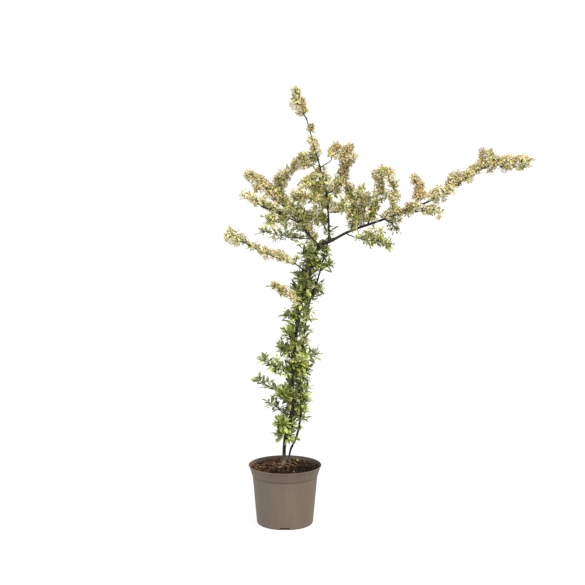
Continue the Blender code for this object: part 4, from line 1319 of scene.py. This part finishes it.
def make_growth():
    """Every spray and every clothed limb, gathered kind by kind into pieces."""
    blossom = Bundle("blossom", flower_materials(), "blossom")
    leaves = Bundle("leaves", leaf_materials(), "leaf")
    twigs = Bundle("twigs", twig_materials(), "bark")
    bundles = (blossom, leaves, twigs)

    def gather(growth, stem=None, nodes=()):
        add_leaves(leaves, growth)
        add_flowers(blossom, growth)
        add_twigs(twigs, growth, stem)
        for bundle in bundles:
            bundle.nodes += nodes
            bundle.finish()

    for number, row in enumerate(TUFTS):
        limb, first, last, spacing, lengths, leaf_count, leaf_size, palette, head_share, petals, side = row
        growth = Growth(f"{limb} tufts {number}", leaf_size, palette, petals, 0.25)
        radius = limb_radius(limb, (first + last) / 2)
        path = limb_path(limb)
        clothe(path, radius, (first, last), spacing, lengths, leaf_count, head_share, side, growth)
        gather(growth)
    for number, (bearer, share, tip, palette, head_share, petals) in enumerate(SHOOTS):
        growth = Growth(f"{bearer} shoot {number}", SPRAY_LEAF, palette, petals, 0.25)
        finer_shoot(bearer, share, tip, head_share, growth)
        gather(growth)
    growth = Growth("lone leaves", LONE_LEAF, (DEEP, MID, GREY), OPEN, 0)
    single_leaves(growth)
    gather(growth)
    for name in SPRAYS:
        path = spray_stem(name)
        petals, bud_share, palette, between, girth = dress_of(name)
        growth = Growth(name + " fine", leaf_size_of(name), palette, petals, bud_share)
        dress(name, path, growth, between, girth)
        if name == FORKED:
            start, _ = along(path, FORK_PLACE)
            fork = smooth_path([start, start + Vector(FORK_REACH) * MM], STEM_STEP)
            dress(name, fork, growth, 0, 1.0)
            twigs.add(*stem_tube(fork, growth.rng), 0)
        gather(growth, path, [name])
    for bundle in bundles:
        bundle.finish(last=True)


# Pot

# Sizes of its patterns, the heights between which dust gathers towards the rim and painted shade lies
# under the step, and where along X the painted shadow on the inner wall begins and is full
FLOW_SIZE = 28 * MM
DUST_PATCH = 5 * MM
GRAIN_SIZE = 0.9 * MM
RIM_DUST = (118 * MM, 158 * MM)
STEP_SHADE = (120 * MM, 136 * MM)
INNER_WALL_SHADOW = (-70 * MM, 80 * MM)


def turned_arrays(profile, sides):
    """Corners and triangles of a closed profile of (radius, height) turned about Z."""
    turns = math.tau * np.arange(sides) / sides
    corners = [np.array([[0, 0, profile[0][1]]])]
    for radius, height in profile[1:-1]:
        corners.append(np.stack([radius * np.cos(turns), radius * np.sin(turns), np.full(sides, height)], 1))
    corners.append(np.array([[0, 0, profile[-1][1]]]))
    rings = len(profile) - 2
    return np.concatenate(corners), closed_skin(rings, sides, 1, 0, 1 + rings * sides)


def arc(middle_radius, middle_height, size, first, last, steps):
    """Points of an arc in the pot's section, from one angle to another in degrees."""
    angles = [math.radians(first + (last - first) * index / steps) for index in range(steps + 1)]
    return [(middle_radius + size * math.cos(a), middle_height + size * math.sin(a)) for a in angles]


def body_radius(height):
    """The pot wall's outer radius below the collar, a straight taper."""
    share = height / (POT_HEIGHT - POT_COLLAR_HEIGHT)
    return POT_BASE_RADIUS + (POT_COLLAR_RADIUS - POT_STEP - POT_BASE_RADIUS) * share


def collar_radius(share):
    """The collar flares slowly at its foot and faster towards the lip."""
    return POT_COLLAR_RADIUS + (POT_RIM_RADIUS - POT_LIP / 2 - POT_COLLAR_RADIUS) * share**COLLAR_FLARE


def pot_profile():
    """The shell's section: round the corner, up the body with its faint band, out over the step, up
    the flared collar, over the rolled lip and down inside to the floor."""
    foot = POT_HEIGHT - POT_COLLAR_HEIGHT
    climb = POT_HEIGHT - POT_LIP - foot
    corner = body_radius(POT_CORNER) - POT_CORNER
    outer = [(0, 0), (corner * 0.5, 0), *arc(corner, POT_CORNER, POT_CORNER, -90, 0, 8)]
    band = foot - POT_BAND_DROP
    for index in range(1, BODY_RINGS):
        height = POT_CORNER + (foot - POT_STEP_ROUND - POT_CORNER) * index / BODY_RINGS
        ridge = POT_BAND_RELIEF * math.exp(-(((height - band) / POT_BAND_WIDTH) ** 2))
        outer.append((body_radius(height) + ridge, height))
    for index in range(STEP_RINGS + 1):
        share = index / STEP_RINGS
        swing = (1 - math.cos(math.pi * share)) / 2
        radius = body_radius(foot) + (POT_COLLAR_RADIUS - body_radius(foot)) * swing
        outer.append((radius, foot + POT_STEP_ROUND * (2 * share - 1)))
    for share in (index / COLLAR_RINGS for index in range(2, COLLAR_RINGS)):
        outer.append((collar_radius(share), foot + climb * share))
    lip = POT_LIP / 2
    outer += arc(POT_RIM_RADIUS - lip, POT_HEIGHT - lip, lip, -60, 180, 14)
    shares = [1 - index / INNER_RINGS for index in range(1, INNER_RINGS)]
    inner = [(collar_radius(share) - POT_WALL, foot + climb * share) for share in shares]
    inner.append((POT_COLLAR_RADIUS - POT_WALL, foot))
    inner.append((body_radius(POT_CORNER) - POT_WALL, POT_CORNER))
    inner += arc(corner, POT_CORNER, POT_CORNER - POT_WALL, 0, -60, 4)[1:]
    inner += [(corner, POT_FLOOR), (0, POT_FLOOR)]
    return outer + inner


def make_pot(stuff):
    """The pot, with round-ended drainage slots cut through its bottom corner."""
    pot = mesh_object("pot_shell", *turned_arrays(pot_profile(), POT_SIDES), [stuff])
    slots = bpy.data.collections.new("slots")
    bpy.context.scene.collection.children.link(slots)
    for step in range(DRAIN_HOLES):
        turn = math.tau * step / DRAIN_HOLES + math.pi / 2
        bm = bmesh.new()
        bmesh.ops.create_cube(bm, size=1)
        size = Matrix.Diagonal((DRAIN_DEPTH, DRAIN_WIDTH, 2 * DRAIN_HEIGHT, 1))
        place = Matrix.Rotation(turn, 4, "Z") @ Matrix.Translation((POT_BASE_RADIUS, 0, 0))
        bmesh.ops.transform(bm, matrix=place @ size, verts=bm.verts)
        bmesh.ops.bevel(bm, geom=bm.edges[:], offset=DRAIN_ROUND, segments=3, affect="EDGES")
        mesh = bpy.data.meshes.new("slot")
        bm.to_mesh(mesh)
        bm.free()
        slots.objects.link(bpy.data.objects.new("slot", mesh))
    cut = pot.modifiers.new("Slots", "BOOLEAN")
    cut.operation = "DIFFERENCE"
    cut.operand_type = "COLLECTION"
    cut.collection = slots
    cut.solver = "EXACT"
    mesh = bpy.data.meshes.new_from_object(pot.evaluated_get(bpy.context.evaluated_depsgraph_get()))
    pot.modifiers.clear()
    pot.data = mesh
    for slot in list(slots.objects):
        bpy.data.objects.remove(slot)
    bpy.data.collections.remove(slots)
    mesh.shade_smooth()
    mesh.set_sharp_from_angle(angle=math.radians(40))
    settle(pot, ["pot"])


def pot_material():
    """Moulded recycled polypropylene: matt taupe with a faint grain, slightly cloudy where the melt
    flowed, dusted with compost under the rim, with faint painted shade under the step, and painted
    shadow darkening the inner wall at the right."""
    plastic, tree, shader = new_material("moulded_taupe_polypropylene", "#716556", 0.5, {"IOR": 1.49})
    geometry = add_node(tree, "ShaderNodeNewGeometry", {})
    spot = geometry["Position"]
    drawn = add_node(tree, "ShaderNodeMapping", {"Vector": spot, "Scale": (1, 1, 0.25)})["Vector"]
    flow = add_node(tree, "ShaderNodeTexNoise", {"Vector": drawn, "Scale": 1 / FLOW_SIZE, "Detail": 3.0})
    taupes = [(0.3, "#695D53"), (0.5, "#6E6153"), (0.7, "#726656")]
    cloud = add_node(tree, "ShaderNodeValToRGB", {"Fac": flow["Fac"], "stops": taupes})
    place = add_node(tree, "ShaderNodeSeparateXYZ", {"Vector": spot})
    parts = {"Value": place["Z"], "From Min": RIM_DUST[0], "From Max": RIM_DUST[1]}
    rim = add_node(tree, "ShaderNodeMapRange", parts)
    grit = add_node(tree, "ShaderNodeTexNoise", {"Vector": spot, "Scale": 1 / DUST_PATCH, "Detail": 6.0})
    patches = [(0.42, "#000000"), (0.62, "#C0C0C0")]
    patch = add_node(tree, "ShaderNodeValToRGB", {"Fac": grit["Fac"], "stops": patches})
    dust = add_node(tree, "ShaderNodeMath", {"operation": "MULTIPLY", 0: rim["Result"], 1: patch["Color"]})
    parts = {"data_type": "RGBA", "Factor": dust["Value"], "A": cloud["Color"], "B": plain_colour("#6A4F3E")}
    dusted = add_node(tree, "ShaderNodeMix", parts)
    # Painted shade: a faint darker band is multiplied into the colour under the step
    parts = {"Value": place["Z"], "From Min": STEP_SHADE[0], "From Max": STEP_SHADE[1]}
    step = add_node(tree, "ShaderNodeMapRange", parts)
    shade = [(0.42, "#FFFFFF"), (0.54, "#D6D6D6"), (0.64, "#D6D6D6"), (0.78, "#FFFFFF")]
    painted_step_shade = add_node(tree, "ShaderNodeValToRGB", {"Fac": step["Result"], "stops": shade})
    parts = {"data_type": "RGBA", "blend_type": "MULTIPLY", "Factor": 1.0}
    step_shaded = add_node(tree, "ShaderNodeMix", {**parts, "A": dusted["Result"], "B": painted_step_shade["Color"]})
    # Painted shadow: the inside of the wall is darkened towards the right, where the key light does not reach
    # it
    level = add_node(tree, "ShaderNodeVectorMath", {"operation": "MULTIPLY", 0: spot, 1: (1, 1, 0)})["Vector"]
    outward = add_node(
        tree, "ShaderNodeVectorMath", {"operation": "DOT_PRODUCT", 0: level, 1: geometry["Normal"]}
    )
    parts = {"Value": outward["Value"], "From Min": -0.03, "From Max": -0.06}
    inside = add_node(tree, "ShaderNodeMapRange", parts)
    parts = {"Value": place["X"], "From Min": INNER_WALL_SHADOW[0], "From Max": INNER_WALL_SHADOW[1], "To Max": 0.85}
    right = add_node(tree, "ShaderNodeMapRange", parts)
    inner_shadow = add_node(tree, "ShaderNodeMath", {"operation": "MULTIPLY", 0: inside["Result"], 1: right["Result"]})
    parts = {"data_type": "RGBA", "Factor": inner_shadow["Value"], "A": step_shaded["Result"], "B": plain_colour("#2A201B")}
    tree.links.new(add_node(tree, "ShaderNodeMix", parts)["Result"], shader["Base Color"])
    grain = add_node(tree, "ShaderNodeTexNoise", {"Vector": spot, "Scale": 1 / GRAIN_SIZE, "Detail": 2.0})
    bump = add_node(tree, "ShaderNodeBump", {"Height": grain["Fac"], "Strength": 0.25, "Distance": 0.15 * MM})
    tree.links.new(bump["Normal"], shader["Normal"])
    return plastic


# Compost

# Bark chips: their length, then width and thickness for a length of one, how far each corner strays
# from its middle, how far they reach past the collar's foot, and where more of them are dark as painted
# shadow from the wall
CHIP_COUNT = 2400
CHIP_LENGTH = (3 * MM, 12 * MM)
CHIP_WIDTH = (0.18, 0.6)
CHIP_DEPTH = (0.08, 0.25)
CHIP_WEAR = (0.6, 1.15)
CHIP_TILT = 0.45
CHIP_REACH = 3 * MM
WALL_SHADOW_START = -30 * MM
WALL_SHADOW_WIDTH = 110 * MM
WALL_SHADOW_SHARE = 0.85
# The darkest tone is both dark sodden bark and the painted shadow at the front right
CHIP_TONES = {
    "dark_sodden_and_shadowed": ("#1C120D", 0.30),
    "brown": ("#4C3424", 0.36),
    "red_brown": ("#5F3B2D", 0.15),
    "weathered_tan": ("#806143", 0.16),
    "pale_wood": ("#A38A68", 0.03),
}
CRUMB_SIZE = 2.6 * MM
ROOT_RADIUS = 0.85 * MM
ROOT_STEP = 2 * MM
ROOT_RISE = 0.5 * MM
ROOTS = [
    [(-3, 24, 154.5), (-6, 12, 155.5), (-9, 0, 156), (-15, -15, 155.5), (-19, -24, 154)],
    [(-6, 12, 155.5), (0, 0, 156), (9, -11, 156), (16, -20, 154)],
    [(-8, 28, 153), (-22, 22, 154.5), (-35, 18, 154), (-47, 20, 152)],
    [(2, 26, 153), (14, 14, 155), (24, 6, 155), (34, 2, 152)],
]


def compost_height(x, y):
    """The lumpy top of the compost."""
    edge = max(0, (math.hypot(x, y) - COMPOST_FLAT_RADIUS) / COMPOST_EDGE_WIDTH)
    lumps = sum(share * noise.noise(Vector((x, y, 0)) / size) for size, share in LUMP_SIZES)
    calm = min(1, math.hypot(x - STEM_FOOT[0], y - STEM_FOOT[1]) / CALM_RADIUS)
    return COMPOST_LEVEL - COMPOST_EDGE_DROP * edge + LUMP_HEIGHT * lumps * (0.35 + 0.65 * calm)


def make_compost(stuff):
    """The fill as one closed body with a lumpy top."""
    foot = POT_HEIGHT - POT_COLLAR_HEIGHT
    edge = POT_COLLAR_RADIUS + COMPOST_EDGE_FLARE - POT_WALL
    profile = [
        (0, POT_FLOOR + SPACE),
        (body_radius(POT_CORNER) - POT_CORNER - SPACE, POT_FLOOR + SPACE),
        (body_radius(POT_CORNER) - POT_WALL - SPACE, POT_CORNER),
        (POT_COLLAR_RADIUS - POT_WALL - SPACE, foot),
    ]
    profile += [(edge * (1 - index / COMPOST_RINGS), COMPOST_LEVEL) for index in range(COMPOST_RINGS)]
    profile.append((0, COMPOST_LEVEL))
    corners, faces = turned_arrays(profile, COMPOST_SIDES)
    for corner in corners:
        if corner[2] > foot + SPACE:
            corner[2] = compost_height(corner[0], corner[1])
    fill = mesh_object("compost_fill", corners, faces, [stuff])
    fill.data.shade_smooth()
    settle(fill, ["compost"])


def make_chips(stuffs):
    """Flakes of bark that lie over the compost, each an uneven slab, dealt out by colour, and more of
    them dark at the front on the right, as painted shadow from the pot wall."""
    rng = np.random.default_rng(5)
    block = np.array([(x, y, z) for z in (-0.5, 0.5) for y in (-0.5, 0.5) for x in (-0.5, 0.5)])
    sides = [(0, 2, 3, 1), (4, 5, 7, 6), (0, 1, 5, 4), (2, 6, 7, 3), (0, 4, 6, 2), (1, 3, 7, 5)]
    faces = [triangle for a, b, c, d in sides for triangle in ((a, b, c), (a, c, d))]
    turn = rng.uniform(0, math.tau, CHIP_COUNT)
    lengths = CHIP_LENGTH[0] + (CHIP_LENGTH[1] - CHIP_LENGTH[0]) * rng.random(CHIP_COUNT) ** 2.2
    reach = (POT_COLLAR_RADIUS + CHIP_REACH - 0.5 * lengths) * np.sqrt(rng.random(CHIP_COUNT))
    places = np.stack([reach * np.cos(turn), reach * np.sin(turn), np.zeros(CHIP_COUNT)], 1)
    widths = lengths * rng.uniform(*CHIP_WIDTH, CHIP_COUNT)
    depths = lengths * rng.uniform(*CHIP_DEPTH, CHIP_COUNT)
    for place, depth in zip(places, depths):
        place[2] = compost_height(place[0], place[1]) + depth * 0.25
    heading = rng.uniform(0, math.tau, CHIP_COUNT)
    ahead = unit(np.stack([np.cos(heading), np.sin(heading), rng.normal(0, CHIP_TILT, CHIP_COUNT)], 1))
    loose = rng.normal(0, CHIP_TILT, (CHIP_COUNT, 3)) + (0, 0, 1)
    across = unit(np.cross(ahead, loose))
    up = np.cross(across, ahead)
    edges = (across * widths[:, None], ahead * lengths[:, None], up * depths[:, None])
    corners = copies_of(block, places, *edges)
    middle = corners.mean(axis=1, keepdims=True)
    corners = middle + (corners - middle) * rng.uniform(*CHIP_WEAR, corners.shape)
    chips = Bundle("bark_chips", stuffs, "compost")
    shades = rng.choice(len(stuffs), CHIP_COUNT, p=[share for _, share in CHIP_TONES.values()])
    # Painted shadow: at the front on the right, where the wall shades the compost, more chips take the
    # darkest tone
    wall_shadow = np.clip((places[:, 0] - places[:, 1] - WALL_SHADOW_START) / WALL_SHADOW_WIDTH, 0, WALL_SHADOW_SHARE)
    shades[rng.random(CHIP_COUNT) < wall_shadow] = 0
    chips.add(corners, faces, shades)
    chips.finish(last=True)


def make_roots(stuff):
    """Thin pale roots that run over the compost from the foot of the stem."""
    roots = Bundle("surface_roots", [stuff], "bark")
    for points in ROOTS:
        path = smooth_path([Vector(point) * MM for point in points], ROOT_STEP)
        for index, point in enumerate(path):
            level = compost_height(point.x, point.y) + ROOT_RISE
            point.z = level + (point.z - level) * 0.3 if index else point.z
        radii = np.linspace(ROOT_RADIUS * 1.5, ROOT_RADIUS * 0.5, len(path))
        radii = radii * (1 + 0.12 * np.sin(np.arange(len(path)) * 1.9))
        roots.add(*tubes([path], [radii], 8), 0)
    made = roots.finish(last=True)
    made.data.shade_smooth()


def compost_material():
    """Moist bark and peat: very dark, rough, with crumbs from black to red-brown."""
    peat, tree, shader = new_material("moist_bark_compost", "#33221A", 0.95, {"Specular IOR Level": 0.1})
    spot = add_node(tree, "ShaderNodeNewGeometry", {})["Position"]
    crumbs = add_node(tree, "ShaderNodeTexVoronoi", {"Vector": spot, "Scale": 1 / CRUMB_SIZE})
    browns = [(0.2, "#150D09"), (0.5, "#271913"), (0.7, "#3E271B"), (0.9, "#5C3C28")]
    shades = add_node(tree, "ShaderNodeValToRGB", {"Fac": crumbs["Color"], "stops": browns})
    tree.links.new(shades["Color"], shader["Base Color"])
    parts = {"Height": crumbs["Distance"], "Strength": 0.8, "Distance": 1.2 * MM}
    tree.links.new(add_node(tree, "ShaderNodeBump", parts)["Normal"], shader["Normal"])
    return peat


def chip_materials():
    """Bark flakes: dark sodden ones that also make the painted shadow at the front right, brown and
    red-brown ones, weathered tan ones, a few pale ones.
    """
    dull = {"Specular IOR Level": 0.15}
    tones = ((tone, colour) for tone, (colour, _) in CHIP_TONES.items())
    return [new_material(f"pine_bark_{tone}", colour, 0.85, dull)[0] for tone, colour in tones]


# Floor, light and camera. Each lamp: turn round Z and tilt from straight down in degrees, strength,
# how wide its disc looks in degrees, and its colour

FLOOR_REACH = 60.0
WORLD_STRENGTH = 0.84
LAMPS = {
    "key": (38, 38, 2.6, 14, (1.0, 0.96, 0.88)),
    "fill": (-62, 58, 1.0, 60, (0.92, 0.96, 1.0)),
}


def make_stage():
    """A plain pale floor, far wider than the picture. It glows a little of itself, as paper lit from
    below does, so that the shadow on it stays faint, and throws less light back than it shows."""
    corners = [(x * FLOOR_REACH, y * FLOOR_REACH, 0) for x, y in ((-1, -1), (1, -1), (1, 1), (-1, 1))]
    paper, tree, shader = new_material("matt_white_floor", "#6E6E6E", 0.9, {"Emission Color": (1, 1, 1, 1)})
    seen = add_node(tree, "ShaderNodeLightPath", {})["Is Camera Ray"]
    glow = add_node(tree, "ShaderNodeMapRange", {"Value": seen, "To Min": 0.45, "To Max": 0.83})
    tree.links.new(glow["Result"], shader["Emission Strength"])
    floor = mesh_object("floor", corners, [(0, 1, 2), (0, 2, 3)], [paper])


def make_light():
    """Soft light from all round, a warm key from above on the right and a wide cool fill on the left."""
    world = bpy.data.worlds.new("studio")
    bpy.context.scene.world = world
    world.use_nodes = True
    background = world.node_tree.nodes["Background"].inputs
    background["Color"].default_value = (1, 1, 1, 1)
    background["Strength"].default_value = WORLD_STRENGTH
    for name, (turn, tilt, strength, angle, colour) in LAMPS.items():
        data = bpy.data.lights.new(name, "SUN")
        data.energy = strength
        data.angle = math.radians(angle)
        data.color = colour
        lamp = bpy.data.objects.new(name, data)
        lamp.rotation_euler = (math.radians(tilt), 0, math.radians(turn))
        bpy.context.scene.collection.objects.link(lamp)
    bpy.context.scene.view_settings.view_transform = "Standard"


def make_camera():
    """The photograph's viewing angle."""
    data = bpy.data.cameras.new("camera")
    data.sensor_width = SENSOR_WIDTH
    data.lens = SENSOR_WIDTH * FOCAL_LENGTH_IN_PIXELS / PICTURE_WIDTH
    camera = bpy.data.objects.new("camera", data)
    camera.location = CAMERA_PLACE
    camera.rotation_euler = (math.radians(90 - CAMERA_PITCH), 0, 0)
    bpy.context.scene.collection.objects.link(camera)
    bpy.context.scene.camera = camera


make_camera()
make_light()
make_stage()
make_pot(pot_material())
make_compost(compost_material())
make_chips(chip_materials())
make_roots(new_material("pale_surface_root", "#7E6C57", 0.8)[0])
make_bark(bark_material())
make_growth()
